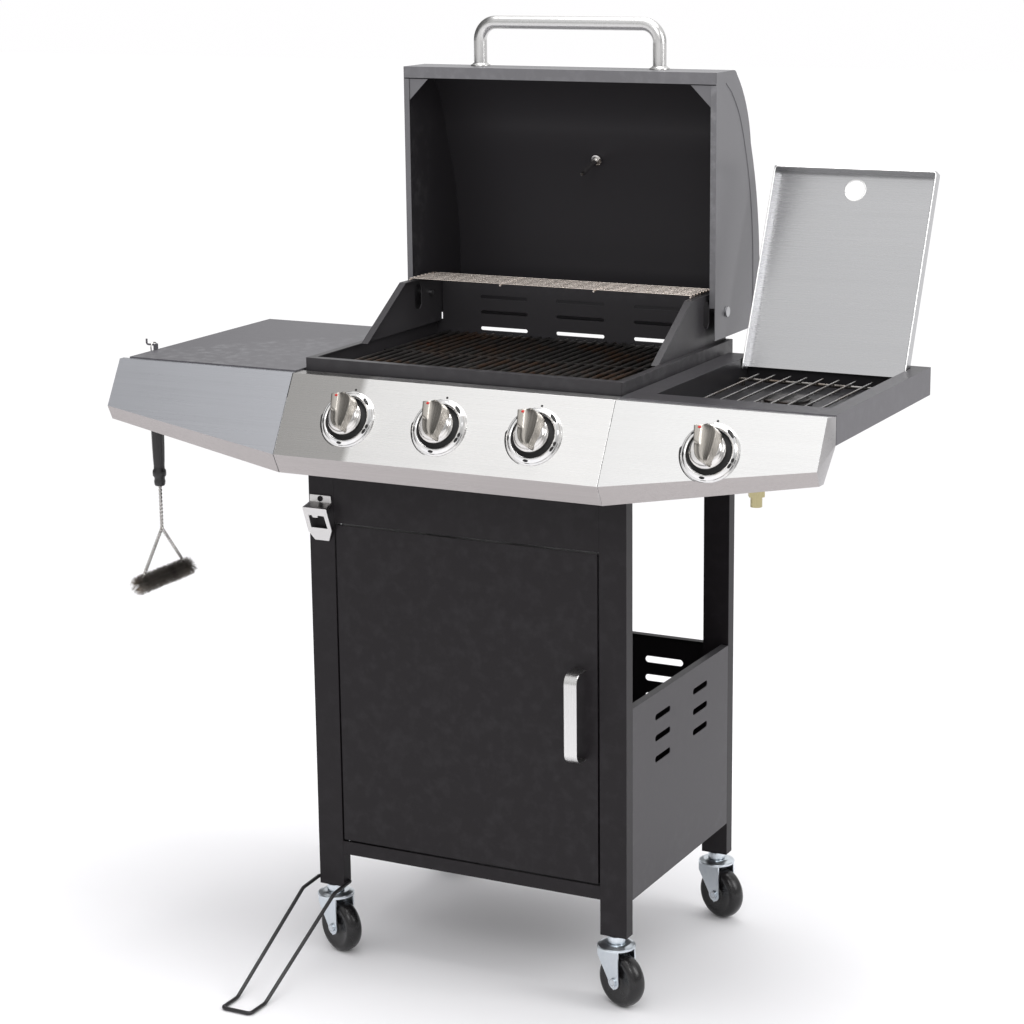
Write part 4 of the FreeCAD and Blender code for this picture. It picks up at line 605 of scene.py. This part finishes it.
def knob_mesh():
    """Plated knob: flared skirt, proud grip with a flat pointer tab and ridges."""
    skirt = lathe([(0.0042, 0.0090), (0.0225, 0.0090), (0.0250, 0.0094), (0.0260, 0.0104), (0.0262, 0.0118), (0.0256, 0.0134), (0.0238, 0.0146),
                   (0.0232, 0.0158), (0.0228, 0.0182), (0.0216, 0.0206), (0.0194, 0.0222), (0.0, 0.0228)], 128, close=False)
    # the grip by stations along the pointer: left edge, groove, ridge, foot of the right flank
    plan = [(-24.6, 4.2, 4.6, 5.2, 5.6), (-22.0, -0.8, 1.6, 6.4, 7.8), (-18.0, -6.2, -0.6, 8.2, 11.4), (-12.0, -10.8, -2.6, 11.2, 15.8), (-4.0, -13.0, -3.2, 14.4, 19.4),
            (8.0, -13.2, -2.6, 17.4, 21.6), (17.0, -13.2, -2.0, 18.6, 20.6), (23.0, -13.2, -1.6, 16.4, 17.8), (28.0, -13.2, -1.4, 11.0, 12.6), (30.9, -13.0, -1.4, 6.0, 7.4)]
    cross = [(0, 0.0, 30.2), (0, 0.03, 31.0), (0, 0.08, 31.4), (0, 0.15, 31.5), (0, 0.32, 31.5), (0, 0.5, 31.5), (0, 0.7, 31.4), (0, 0.84, 31.1), (0, 0.93, 30.6), (0, 1.0, 30.2),
             (1, 0.1, 30.1), (1, 0.22, 30.2), (1, 0.4, 30.6), (1, 0.6, 31.2), (1, 0.78, 31.9), (1, 0.9, 32.4), (1, 0.96, 32.6), (1, 1.0, 32.6),
             (2, 0.05, 32.4), (2, 0.13, 31.1), (2, 0.28, 28.9), (2, 0.48, 26.3), (2, 0.68, 23.9), (2, 0.86, 21.6), (2, 0.95, 20.3), (2, 1.0, 19.0)]

    def station(u):
        i = 0
        while i < len(plan) - 2 and u > plan[i + 1][0]:
            i += 1
        q0, q1, q2, q3 = plan[max(0, i - 1)], plan[i], plan[i + 1], plan[min(len(plan) - 1, i + 2)]
        h = (u - q1[0]) / (q2[0] - q1[0])
        row = []
        for c in (1, 2, 3, 4):
            m1 = (q2[c] - q0[c]) / (q2[0] - q0[0]) * (q2[0] - q1[0])
            m2 = (q3[c] - q1[c]) / (q3[0] - q1[0]) * (q2[0] - q1[0])
            row.append((2 * h ** 3 - 3 * h ** 2 + 1) * q1[c] + (h ** 3 - 2 * h ** 2 + h) * m1 + (3 * h ** 2 - 2 * h ** 3) * q2[c] + (h ** 3 - h ** 2) * m2)
        return row

    us = [-24.6, -24.2, -23.6] + [-23.0 + i for i in range(53)] + [29.6, 30.1, 30.4, 30.7, 30.9]
    verts, faces = [], []
    for u in us:
        row = station(u)
        foot = 1.0 if u > -14.0 else 1.0 - 0.20 * ((-14.0 - u) / 10.6) ** 2
        lip = 1.0 if u < 29.6 else 1.0 - 0.08 * ((u - 29.6) / 1.3) ** 2
        for seg, q, z in cross:
            x = row[seg] + (row[seg + 1] - row[seg]) * q
            # the left shoulder drops below the flat pointer tab
            drop = 0.0
            if seg == 0:
                drop = 2.2 * (1.0 - q ** 3) / (1.0 + math.exp((u - 8.0 + 6.0 * q) * 1.5))
            verts.append(Vector((x, u, 14.0 + (z - 14.0 - drop) * foot * lip)) * 0.001)
    nu, nt = len(us), len(cross)
    for i in range(nu - 1):
        for j in range(nt - 1):
            faces.append((i * nt + j, i * nt + j + 1, (i + 1) * nt + j + 1, (i + 1) * nt + j))
    rim = [(nu - 1) * nt + j for j in range(nt)] + [i * nt + nt - 1 for i in range(nu - 2, -1, -1)] + [j for j in range(nt - 2, -1, -1)] + [i * nt for i in range(1, nu - 1)]
    low = len(verts)
    for q in rim:
        verts.append(Vector((verts[q].x, verts[q].y, 0.0140)))
    m = len(rim)
    for i in range(m):
        j = (i + 1) % m
        faces.append((rim[i], rim[j], low + j, low + i))
    faces.append(tuple(low + i for i in range(m)))
    turn = Matrix.Rotation(math.radians(10.0), 4, "Z")
    return skirt, moved((verts, faces), turn), turn


def dome(r, h, n=24):
    return lathe([(r, 0.0), (r * 0.92, h * 0.45), (r * 0.6, h * 0.85), (0.0, h)], n, close=False)


for k in "1234":
    F = knob_frame(k)
    skirt, grip, turn = knob_mesh()
    vf = join(skirt, grip)
    o = make("v_knob_" + k, vf[0], vf[1], [M["knob_chrome"], M["knob_nickel"]], "dial_" + k, matrix=F, angle=30, indices=[0] * len(skirt[1]) + [1] * len(grip[1]))
    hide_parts("knob_" + k)
    dot = moved(dome(0.0022, 0.0006), turn @ Matrix.Translation((-0.0048, 0.0268, 0.03135)) @ Matrix.Diagonal((1.15, 0.85, 1.0, 1.0)))
    make("knob_mark_" + k, dot[0], dot[1], M["red_enamel"], "dial_" + k, matrix=F)
    # black ring in the gap between knob and bezel: painted shade standing in for the knob's shadow and dark
    # reflection
    col = lathe([(0.0072, 0.0004), (0.0329, 0.0004), (0.0329, 0.0012), (0.0260, 0.0020), (0.0243, 0.0034), (0.0225, 0.0046), (0.0072, 0.0046)], 96)
    make("knob_gap_shade_ring_" + k, col[0], col[1], M["print_and_shade_black"], "cart", matrix=F)

bez_parts = []
for k in "1234":
    F = knob_frame(k)
    prof = [(0.0316, 0.0003), (0.0417, 0.0003), (0.0420, 0.0012), (0.0415, 0.0026), (0.0401, 0.0036), (0.0391, 0.0034), (0.0383, 0.0039), (0.0371, 0.0058),
            (0.0355, 0.0069), (0.0341, 0.0070), (0.0330, 0.0066), (0.0320, 0.0055), (0.0316, 0.0038)]
    bez_parts.append(moved(lathe(prof, 128), F))
bz = join(*bez_parts)
o = make("v_knob_bezels", bz[0], bz[1], M["bezel_chrome"], "cart", angle=28)
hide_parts("knob_bezels")
for k in "1234":
    F = knob_frame(k)
    # black fills standing for holes in the bezel: their darkness is painted shade
    holes = []
    for ang, rad, long in ((47, 0.0374, 3.4), (-14, 0.0366, 1.5), (-27, 0.0366, 1.9), (-94, 0.0366, 1.8), (190, 0.0366, 1.9), (140, 0.0368, 1.3)):
        m = Matrix.Rotation(math.radians(ang), 4, "Z") @ Matrix.Translation((rad, 0, 0.0060)) @ Matrix.Rotation(math.radians(42), 4, "Y")
        m = m @ Matrix.Diagonal((0.9, long, 1.0, 1.0))
        holes.append(moved(lathe([(0.0021, -0.0006), (0.0022, 0.0005), (0.0019, 0.0009), (0.0013, 0.0007), (0.0, 0.0006)], 28, close=False), m))
    hv = join(*holes)
    make("bezel_holes_" + k, hv[0], hv[1], M["print_and_shade_black"], "cart", matrix=F)
    # printed marks: a dot at the top, a wedge that narrows towards the bottom
    marks = [moved(lathe([(0.0017, 0.0), (0.0017, 0.00018), (0.0, 0.0002)], 28, close=False), Matrix.Translation((0.0015, 0.0449, 0.00004)))]
    v, f = [], []
    for i in range(41):
        t = i / 40.0
        a = math.radians(172 + 80 * t)
        w = 0.0004 + 0.0021 * (1.0 - t) ** 0.8
        if t < 0.05:
            w *= 0.25 + 15.0 * t
        for r, z in ((0.0427, 0.00004), (0.0427, 0.0002), (0.0427 + w, 0.0002), (0.0427 + w, 0.00004)):
            v.append(Vector((r * math.cos(a), r * math.sin(a), z)))
        if i:
            b = (i - 1) * 4
            for q in range(4):
                f.append((b + q, b + (q + 1) % 4, b + 4 + (q + 1) % 4, b + 4 + q))
    f.append((0, 1, 2, 3))
    f.append((163, 162, 161, 160))
    marks.append((v, f))
    mv = join(*marks)
    make("dial_marks_" + k, mv[0], mv[1], M["print_and_shade_black"], "cart", matrix=F)

# -------------------------------------------------------------------- casters
c227, s227 = math.cos(math.radians(-22.7)), math.sin(math.radians(-22.7))
for k, (x, y) in {"front_left": (-236, 10.5), "front_right": (236, 10.5), "rear_left": (-236, 384.5), "rear_right": (236, 384.5)}.items():
    axle = Vector((-s227, c227, 0))
    centre = C(x + 12 * c227, y + 12 * s227, 40.0)
    F = rot_to(axle, centre, Vector((0, 0, 1)))
    # smooth moulded disc: hub boss, shallow dish, rounded tread
    half = [(4.05, 14.0), (9.6, 14.0), (10.6, 13.7), (11.3, 12.9), (12.0, 11.9), (13.4, 11.4), (18.0, 11.3), (24.0, 11.8), (27.0, 12.5), (29.6, 13.2), (32.0, 13.3), (34.2, 12.6), (36.2, 11.1), (37.9, 8.9), (39.0, 6.4), (39.7, 3.5), (40.0, 0.0)]
    prof = [(r / 1000, z / 1000) for r, z in half] + [(r / 1000, -z / 1000) for r, z in half[-2::-1]]
    wv = lathe(prof, 144)
    # fine parting line round the tread
    seam = lathe([(0.03998, 0.0003), (0.04010, 0.0), (0.03998, -0.0003), (0.0398, 0.0)], 144)
    wj = join(wv, seam)
    o = make("v_caster_wheel_" + k, wj[0], wj[1], M["wheel_plastic"], "wheel_" + k, matrix=F, angle=50)
    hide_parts("caster_wheel_" + k)
    # bearing hat beads and nut on the fork's crown
    B = Matrix.Translation(C(x, y, -4.0))
    hat = lathe([(0.0225, 0.0944), (0.0262, 0.0940), (0.0272, 0.0926), (0.0276, 0.0932), (0.0268, 0.0952), (0.0240, 0.0962), (0.0215, 0.0976), (0.0196, 0.0983), (0.0150, 0.0984), (0.0150, 0.0976), (0.0190, 0.0970)], 96)
    make("fork_crown_" + k, hat[0], hat[1], M["zinc_plate"], "fork_" + k, matrix=B)
    nut = []
    hexv = [(0.0085 * math.cos(math.radians(60 * i)), 0.0085 * math.sin(math.radians(60 * i))) for i in range(6)]
    ring = lathe([(0.0050, 0.0986), (0.0125, 0.0986), (0.0130, 0.0992), (0.0128, 0.1004), (0.0105, 0.1012), (0.0098, 0.1040), (0.0100, 0.1088), (0.0050, 0.1088)], 64)
    make("stem_collar_" + k, ring[0], ring[1], M["pin_steel"], "cart", matrix=B)
    for sgn in (1, -1):
        R = rot_to(axle * sgn, centre + axle * sgn * 0.0176, Vector((0, 0, 1)))
        riv = lathe([(0.0062, 0.0), (0.0062, 0.0022), (0.0056, 0.0029), (0.0044, 0.0032), (0.0040, 0.0024), (0.0026, 0.0022), (0.0, 0.0022)], 48, close=False)
        make("axle_rivet_%s_%s" % (k, "a" if sgn > 0 else "b"), riv[0], riv[1], M["pin_steel"], "fork_" + k, matrix=R)

# ---------------------------------------------------------------- grill brush
random.seed(7)
bx, by = -554.0, 45.0


def helix(p0, p1, rad, turns, wire, phases=2, n=8):
    d = p1 - p0
    L = d.length
    t = d.normalized()
    u = t.cross(Vector((1, 0, 0)) if abs(t.x) < 0.9 else Vector((0, 1, 0))).normalized()
    v = t.cross(u)
    out = []
    steps = int(turns * 16)
    for ph in range(phases):
        pts = []
        for i in range(steps + 1):
            s = i / steps
            a = 2 * math.pi * (turns * s + ph / phases)
            pts.append(p0 + d * s + (u * math.cos(a) + v * math.sin(a)) * rad)
        out.append(tube(pts, wire, n))
    return join(*out)


shaft = helix(C(bx, by, 690), C(bx, by, 620), 0.0016, 6, 0.0014)
arm_l = helix(C(bx, by, 622), C(bx, by - 58, 552), 0.0016, 9, 0.0014)
arm_r = helix(C(bx, by, 622), C(bx, by + 58, 552), 0.0016, 9, 0.0014)
core = helix(C(bx, by - 76, 546), C(bx, by + 76, 546), 0.0017, 18, 0.0015)
wires = join(shaft, arm_l, arm_r, core)
o = make("brush_twisted_wire", wires[0], wires[1], M["bright_wire"], "brush")
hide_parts("brush_head")
bv, bf = [], []
for i in range(3400):
    t = i / 3399.0
    a = t * 2 * math.pi * 46 + random.uniform(-0.35, 0.35)
    y = by - 70 + 140 * t + random.uniform(-0.9, 0.9)
    L = random.uniform(13.2, 16.0)
    d = Vector((math.cos(a), random.uniform(-0.16, 0.16), math.sin(a))).normalized()
    base = C(bx, y, 546) + d * 0.0016
    tip = base + d * (L / 1000 - 0.0016) + Vector((random.uniform(-0.6, 0.6), random.uniform(-0.9, 0.9), random.uniform(-0.6, 0.6))) * 0.001
    side = d.cross(Vector((0, 1, 0)))
    side = side.normalized() * 0.00022
    w = d.cross(side).normalized() * 0.00022
    k = len(bv)
    mid = (base + tip) / 2 + side * random.uniform(-2, 2)
    for p in (base, mid, tip):
        bv += [p + side, p - side * 0.5 + w, p - side * 0.5 - w]
    for q in (0, 3):
        for e in range(3):
            bf.append((k + q + e, k + q + (e + 1) % 3, k + q + 3 + (e + 1) % 3, k + q + 3 + e))
    bf.append((k + 6, k + 7, k + 8))
make("brush_bristles", bv, bf, M["brush_wire"], "brush", smooth=False)

gp = [(0.0, 0.6895), (0.0052, 0.6895), (0.0072, 0.6902), (0.0084, 0.6925), (0.0088, 0.6970), (0.0080, 0.7005), (0.0084, 0.7035), (0.0103, 0.7060), (0.0106, 0.7100), (0.0103, 0.7140), (0.0086, 0.7165),
      (0.0084, 0.7210), (0.0090, 0.7300), (0.0097, 0.7500), (0.0101, 0.7750), (0.0101, 0.8000), (0.0097, 0.8220), (0.0090, 0.8380), (0.0080, 0.8480), (0.0060, 0.8530), (0.0035, 0.8548), (0.0, 0.8550)]
gv = lathe(gp, 64, close=False)
# shallow finger flutes down the grip
fl = []
for v in gv[0]:
    v = Vector(v)
    r = math.hypot(v.x, v.y)
    if 0.722 < v.z < 0.842 and r > 1e-5:
        a = math.atan2(v.y, v.x)
        fade = min(1.0, (v.z - 0.722) / 0.01, (0.842 - v.z) / 0.01)
        s = 1 - 0.055 * fade * (0.5 + 0.5 * math.cos(a * 8))
        v = Vector((v.x * s, v.y * s, v.z))
    fl.append(v)
m = Matrix.Translation(C(bx, by, 0))
lp = [C(bx, by - 2.0, 850)] + [C(bx, by - 8.2 * math.cos(math.pi * i / 16), 905 + 8.2 * math.sin(math.pi * i / 16)) for i in range(17)] + [C(bx, by + 2.0, 850)]
loop = tube(lp, 0.0012, 12)
grip = make("v_brush_handle", fl, gv[1], M["grip_plastic"], "brush", matrix=m)
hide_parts("brush_handle")
make("brush_hanging_loop", loop[0], loop[1], M["bright_wire"], "brush")

# ------------------------------------------------------------------ wire stay
me = NODES["wire_stay"].data.copy()
bm = bmesh.new()
bm.from_mesh(me)
bmesh.ops.remove_doubles(bm, verts=bm.verts, dist=1e-6)
bm.normal_update()
for v in bm.verts:
    v.co += v.normal * 0.0006
bm.to_mesh(me)
bm.free()
o = finish_mesh("v_wire_stay", me, M["wire_black"], BODY["wire_stay"], angle=60)
for p in o.data.polygons:
    p.material_index = 0
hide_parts("wire_stay")

# --------------------------------------------------------- carried-over nodes
for n, mname in (("hinge_pins", "pin_steel"), ("caster_stems", "zinc_plate"), ("gas_manifold", "pipe_alloy"), ("gas_inlet", "inlet_brass"), ("burner_tubes", "burner_steel"),
                 ("cooking_grate", "grate_steel"), ("grease_cup", "tray_steel"), ("hood_handle", "handle_steel"), ("side_burner", "grate_steel"),
                 ("side_grate", "well_wire"), ("valve_stem_1", "pin_steel"), ("valve_stem_2", "pin_steel"), ("valve_stem_3", "pin_steel"), ("valve_stem_4", "pin_steel")):
    me = NODES[n].data
    me.materials.clear()
    me.materials.append(M[mname])
    for p in me.polygons:
        p.use_smooth = True
        p.material_index = 0
    me.set_sharp_from_angle(angle=math.radians(35))

# --------------------------------------------------- warming rack: fine wires
rk = []
for i in range(7):
    y = 277.0 + 11.5 * i
    rk.append(tube([C(-235, y, 998.6), C(-100, y, 998.6), C(100, y, 998.6), C(235, y, 998.6)], 0.00095, 14))
for x in (-234.0, -78.0, 78.0, 234.0):
    rk.append(tube([C(x, 274.0, 996.4), C(x, 313.0, 996.4), C(x, 352.0, 996.4)], 0.0015, 14))
rj = join(*rk)
o = make("v_warming_rack", rj[0], rj[1], M["rack_wire"], BODY["warming_rack"], angle=50)
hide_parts("warming_rack")

# ------------------------------------------------------------------- side lid
soften("side_lid", 0.0005, mat=M["lid_steel"])
LID = Matrix.Translation(C(0, 330, 890)) @ Matrix.Rotation(math.radians(-113.5), 4, "X") @ Matrix.Translation(-C(0, 330, 890))
hem = round_path([C(296.0, 326, 884.2), C(296.0, 24.2, 884.2), C(544.0, 24.2, 884.2), C(544.0, 326, 884.2)], 0.004)
hv = tube(hem, 0.0011, 10)
# the hem gets the brighter panel steel rather than the lid's own steel: painted highlight along the border
make("side_lid_hem", hv[0], hv[1], M["panel_steel"], "burner_lid", matrix=LID)
rim = lathe([(0.0150, -0.0012), (0.0153, 0.0001), (0.0165, 0.0006), (0.0182, 0.0005), (0.0190, 0.0001), (0.0186, -0.0004), (0.0156, -0.0014)], 64)
# the hole's rim also gets the brighter panel steel: painted highlight
make("side_lid_hole_rim", rim[0], rim[1], M["panel_steel"], "burner_lid", matrix=LID @ Matrix.Translation(C(420, 51, 901.8)))

# ----------------------------------------------------------------- screws etc
def screw_head(r=0.0042, h=0.0022, n=40):
    """Pan head with a cross recess cut into its crown."""
    verts, faces = lathe([(r, 0.0), (r, h * 0.35), (r * 0.93, h * 0.7), (r * 0.75, h * 0.93), (r * 0.5, h)], n, close=False)
    k = len(verts)
    ring = list(range(k - n, k))
    cross = []
    for i in range(n):
        a = 2 * math.pi * i / n
        d = min(abs(math.cos(a)), abs(math.sin(a)))
        rr = r * (0.42 if d < 0.32 else 0.15)
        verts.append((rr * math.cos(a), rr * math.sin(a), h))
    for i in range(n):
        a = 2 * math.pi * i / n
        d = min(abs(math.cos(a)), abs(math.sin(a)))
        rr = r * (0.36 if d < 0.32 else 0.13)
        verts.append((rr * math.cos(a), rr * math.sin(a), h * 0.35))
    verts.append((0, 0, h * 0.3))
    for i in range(n):
        j = (i + 1) % n
        faces.append((ring[i], ring[j], k + j, k + i))
        faces.append((k + i, k + j, k + n + j, k + n + i))
        faces.append((k + n + i, k + n + j, k + 2 * n))
    return verts, faces


heads = []
spots = [((-236.5, -2.1, 709.3), (0, -1, 0))]
for sx in (-236.0, 236.0):
    for z in (200.0, 430.0):
        spots.append(((sx, 395.0, z), (0, 1, 0)))
for p, d in spots:
    heads.append(moved(screw_head(), rot_to(Vector(d), C(*p), Vector((0, 0, 1)))))
hj = join(*heads)
o = make("v_fasteners", hj[0], hj[1], M["frame_paint"], "cart", smooth=True, angle=30)
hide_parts("fasteners")

# ----------------------------------------------------------------------- hood
TH_N = Vector((0, 0.9516138, 0.3072966))
TF = rot_to(TH_N, C(0, 455.6575, 1172.5711), Vector((1, 0, 0))) @ Matrix.Translation((0, 0, -0.00145))
tv = lathe([(0.0, 0.0016), (0.0285, 0.0016), (0.0305, 0.0026), (0.0310, 0.0060), (0.0306, 0.0105), (0.0294, 0.0124), (0.0280, 0.0126), (0.0272, 0.0112), (0.0270, 0.0090), (0.0, 0.0088)], 96, close=False)
st = lathe([(0.0, -0.0580), (0.0026, -0.0580), (0.0036, -0.0560), (0.0040, -0.0500), (0.0040, -0.0048), (0.0060, -0.0048), (0.0084, -0.0044), (0.0085, -0.0004), (0.0060, 0.0001), (0.0040, 0.0001), (0.0040, 0.0020)], 32, close=False)
tj = join(tv, st)
o = make("v_thermometer", tj[0], tj[1], M["knob_chrome"], "hood", matrix=TF)
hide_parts("thermometer")
dv = lathe([(0.0, 0.0093), (0.0266, 0.0093), (0.0266, 0.0089)], 64, close=False)
make("dial_face", dv[0], dv[1], M["dial_white"], "hood", matrix=TF)
ticks = []
for i in range(21):
    a = math.radians(225 - 13.5 * i)
    L = 0.0042 if i % 5 == 0 else 0.0024
    w = 0.00035 if i % 5 == 0 else 0.0002
    R = Matrix.Rotation(a, 4, "Z")
    vs = [Vector((x, y, z)) for x in (0.0236 - L, 0.0236) for y in (-w, w) for z in (0.0093, 0.00945)]
    ticks.append(moved((vs, [(0, 1, 3, 2), (4, 6, 7, 5), (0, 4, 5, 1), (2, 3, 7, 6), (1, 5, 7, 3), (0, 2, 6, 4)]), R))
hand = [Vector(p) for p in ((-0.006, -0.0009, 0.0098), (-0.006, 0.0009, 0.0098), (0.0195, 0.0, 0.0098), (-0.006, -0.0009, 0.0102), (-0.006, 0.0009, 0.0102), (0.0195, 0.0, 0.0102))]
ticks.append(moved((hand, [(0, 1, 2), (3, 5, 4), (0, 3, 4, 1), (1, 4, 5, 2), (2, 5, 3, 0)]), Matrix.Rotation(math.radians(205), 4, "Z")))
ticks.append(moved(dome(0.0018, 0.0008), Matrix.Translation((0, 0, 0.0100))))
kj = join(*ticks)
make("dial_ticks_and_hand", kj[0], kj[1], M["print_and_shade_black"], "hood", matrix=TF)
gl = lathe([(0.0272, 0.0110), (0.0200, 0.0119), (0.0100, 0.0123), (0.0, 0.0124)], 64, close=False)
make("dial_window", gl[0], gl[1], M["dial_glass"], "hood", matrix=TF)

# pressed rib that follows the hood's curve on both end caps
for s in (1, -1):
    ctrl = [C(s * 258.0, 346.0, 1300.0), C(s * 258.0, 372.0, 1281.0), C(s * 258.0, 405.0, 1238.0), C(s * 258.0, 438.0, 1152.0), C(s * 258.0, 453.0, 1070.0), C(s * 258.0, 456.5, 1000.0), C(s * 258.0, 455.0, 955.0)]
    pts = []
    for i in range(len(ctrl) - 1):
        p0, p1, p2, p3 = ctrl[max(0, i - 1)], ctrl[i], ctrl[i + 1], ctrl[min(len(ctrl) - 1, i + 2)]
        for q in range(10):
            t = q / 10.0
            pts.append(0.5 * ((2 * p1) + (p2 - p0) * t + (2 * p0 - 5 * p1 + 4 * p2 - p3) * t * t + (3 * p1 - p0 - 3 * p2 + p3) * t ** 3))
    pts.append(ctrl[-1])
    rib = tube(pts, 0.0011, 10)
    make("hood_cap_rib_" + ("right" if s > 0 else "left"), rib[0], rib[1], M["hood_paint"], "hood")
feet = []
for s in (1, -1):
    feet.append(moved(lathe([(0.0101, 0.0), (0.0150, 0.0), (0.0152, 0.0010), (0.0146, 0.0022), (0.0126, 0.0030), (0.0112, 0.0046), (0.0101, 0.0050)], 64), Matrix.Translation(C(s * 148.5, 355, 1317.5))))
fj = join(*feet)
make("hood_handle_feet", fj[0], fj[1], M["handle_steel"], "hood")

# ------------------------------------------------------------ floor and light
bpy.ops.mesh.primitive_plane_add(size=40, location=(0, 0, 0))
floor = bpy.context.object
floor.name = "floor"
fl = Nodes("floor_pale")
# the sheet of floor brightens into the white backdrop far from the object
far = fl.math("ADD", fl.math("MULTIPLY", fl.axis(0), fl.axis(0)), fl.math("MULTIPLY", fl.axis(1), fl.axis(1)))
fade = fl.span(fl.math("POWER", far, 0.5), 0.0, 1.0, 1.5, 4.5)
tone = fl.ramp(fl.noise(2.0), [(0.3, (0.86, 0.86, 0.87)), (0.7, (0.88, 0.88, 0.89))])
floor.data.materials.append(fl.set(Base_Color=fl.mix(fade, tone, (0.0, 0.0, 0.0)), Emission_Color=(1.0, 0.995, 1.0), Emission_Strength=fade, Roughness=0.9))

world = bpy.data.worlds.new("studio")
bpy.context.scene.world = world
world.use_nodes = True
wt = world.node_tree
bg = wt.nodes["Background"]
tc = wt.nodes.new("ShaderNodeTexCoord")
sep = wt.nodes.new("ShaderNodeSeparateXYZ")
wt.links.new(tc.outputs["Generated"], sep.inputs[0])


def wramp(sock, stops):
    r = wt.nodes.new("ShaderNodeValToRGB")
    mr = wt.nodes.new("ShaderNodeMapRange")
    mr.inputs["From Min"].default_value = -1.0
    mr.inputs["From Max"].default_value = 1.0
    wt.links.new(sock, mr.inputs["Value"])
    wt.links.new(mr.outputs[0], r.inputs[0])
    e = r.color_ramp.elements
    e[0].position, e[0].color = (stops[0][0] + 1) / 2, (stops[0][1],) * 3 + (1,)
    e[1].position, e[1].color = (stops[-1][0] + 1) / 2, (stops[-1][1],) * 3 + (1,)
    for p, v in stops[1:-1]:
        k = e.new((p + 1) / 2)
        k.color = (v, v, v, 1)
    return r.outputs[0]


# a studio that is darker to the left and a little darker low down in front
side = wramp(sep.outputs[0], [(-1.0, 0.14), (-0.70, 0.17), (-0.575, 0.35), (-0.505, 1.04), (0.30, 0.98), (0.75, 0.70), (1.0, 0.55)])
high = wramp(sep.outputs[2], [(-1.0, 0.85), (-0.05, 0.75), (0.06, 0.62), (0.30, 0.85), (0.60, 1.0), (1.0, 0.95)])
mul = wt.nodes.new("ShaderNodeMix")
mul.data_type = "RGBA"
mul.blend_type = "MULTIPLY"
mul.inputs[0].default_value = 1.0
wt.links.new(side, mul.inputs[6])
wt.links.new(high, mul.inputs[7])
lpath = wt.nodes.new("ShaderNodeLightPath")
fin = wt.nodes.new("ShaderNodeMix")
fin.data_type = "RGBA"
wt.links.new(lpath.outputs["Is Camera Ray"], fin.inputs[0])
dif = wt.nodes.new("ShaderNodeMix")
dif.data_type = "RGBA"
wt.links.new(lpath.outputs["Is Diffuse Ray"], dif.inputs[0])
wt.links.new(mul.outputs[2], dif.inputs[6])
dif.inputs[7].default_value = (0.95, 0.94, 0.955, 1)
wt.links.new(dif.outputs[2], fin.inputs[6])
fin.inputs[7].default_value = (1.0, 0.995, 1.0, 1)
wt.links.new(fin.outputs[2], bg.inputs[0])
bg.inputs[1].default_value = 1.0
bpy.context.scene.view_settings.view_transform = "Standard"


def area(name, loc, target, size, power, color=(1, 1, 1)):
    d = bpy.data.lights.new(name, "AREA")
    d.energy = power
    d.size = size[0]
    d.shape = "RECTANGLE"
    d.size_y = size[1]
    d.color = color
    o = bpy.data.objects.new(name, d)
    bpy.context.scene.collection.objects.link(o)
    o.location = loc
    o.rotation_euler = (Vector(target) - Vector(loc)).to_track_quat("-Z", "Y").to_euler()
    return o


area("top", (0.1, 0.2, 3.4), (0, 0, 0.0), (2.2, 1.9), 62)
area("key", (1.5, -3.0, 3.3), (0, 0, 0.7), (1.4, 1.2), 22)
area("right", (3.0, 0.2, 2.2), (0, 0, 0.7), (1.2, 1.8), 30)

# --------------------------------------------------------------------- camera
O = C(1701.01, -3143.80, 1557.52)
yaw, pitch, roll = math.radians(27.2859), math.radians(13.3251), math.radians(-0.6546)
right = Vector((math.cos(yaw), math.sin(yaw), 0))
fwd = Vector((-math.sin(yaw) * math.cos(pitch), math.cos(yaw) * math.cos(pitch), -math.sin(pitch)))
up = right.cross(fwd)
r0 = right * math.cos(roll) + (-up) * -math.sin(roll)
r1 = right * math.sin(roll) + (-up) * math.cos(roll)
cam_d = bpy.data.cameras.new("camera")
cam_d.lens = 90.37
cam_d.sensor_width = 36.0
cam_d.clip_start = 0.05
cam_d.clip_end = 60
cam = bpy.data.objects.new("camera", cam_d)
bpy.context.scene.collection.objects.link(cam)
mw = Matrix((r0, -r1, -fwd)).transposed().to_4x4()
mw.translation = O
cam.matrix_world = mw
bpy.context.scene.camera = cam

bpy.context.view_layer.update()
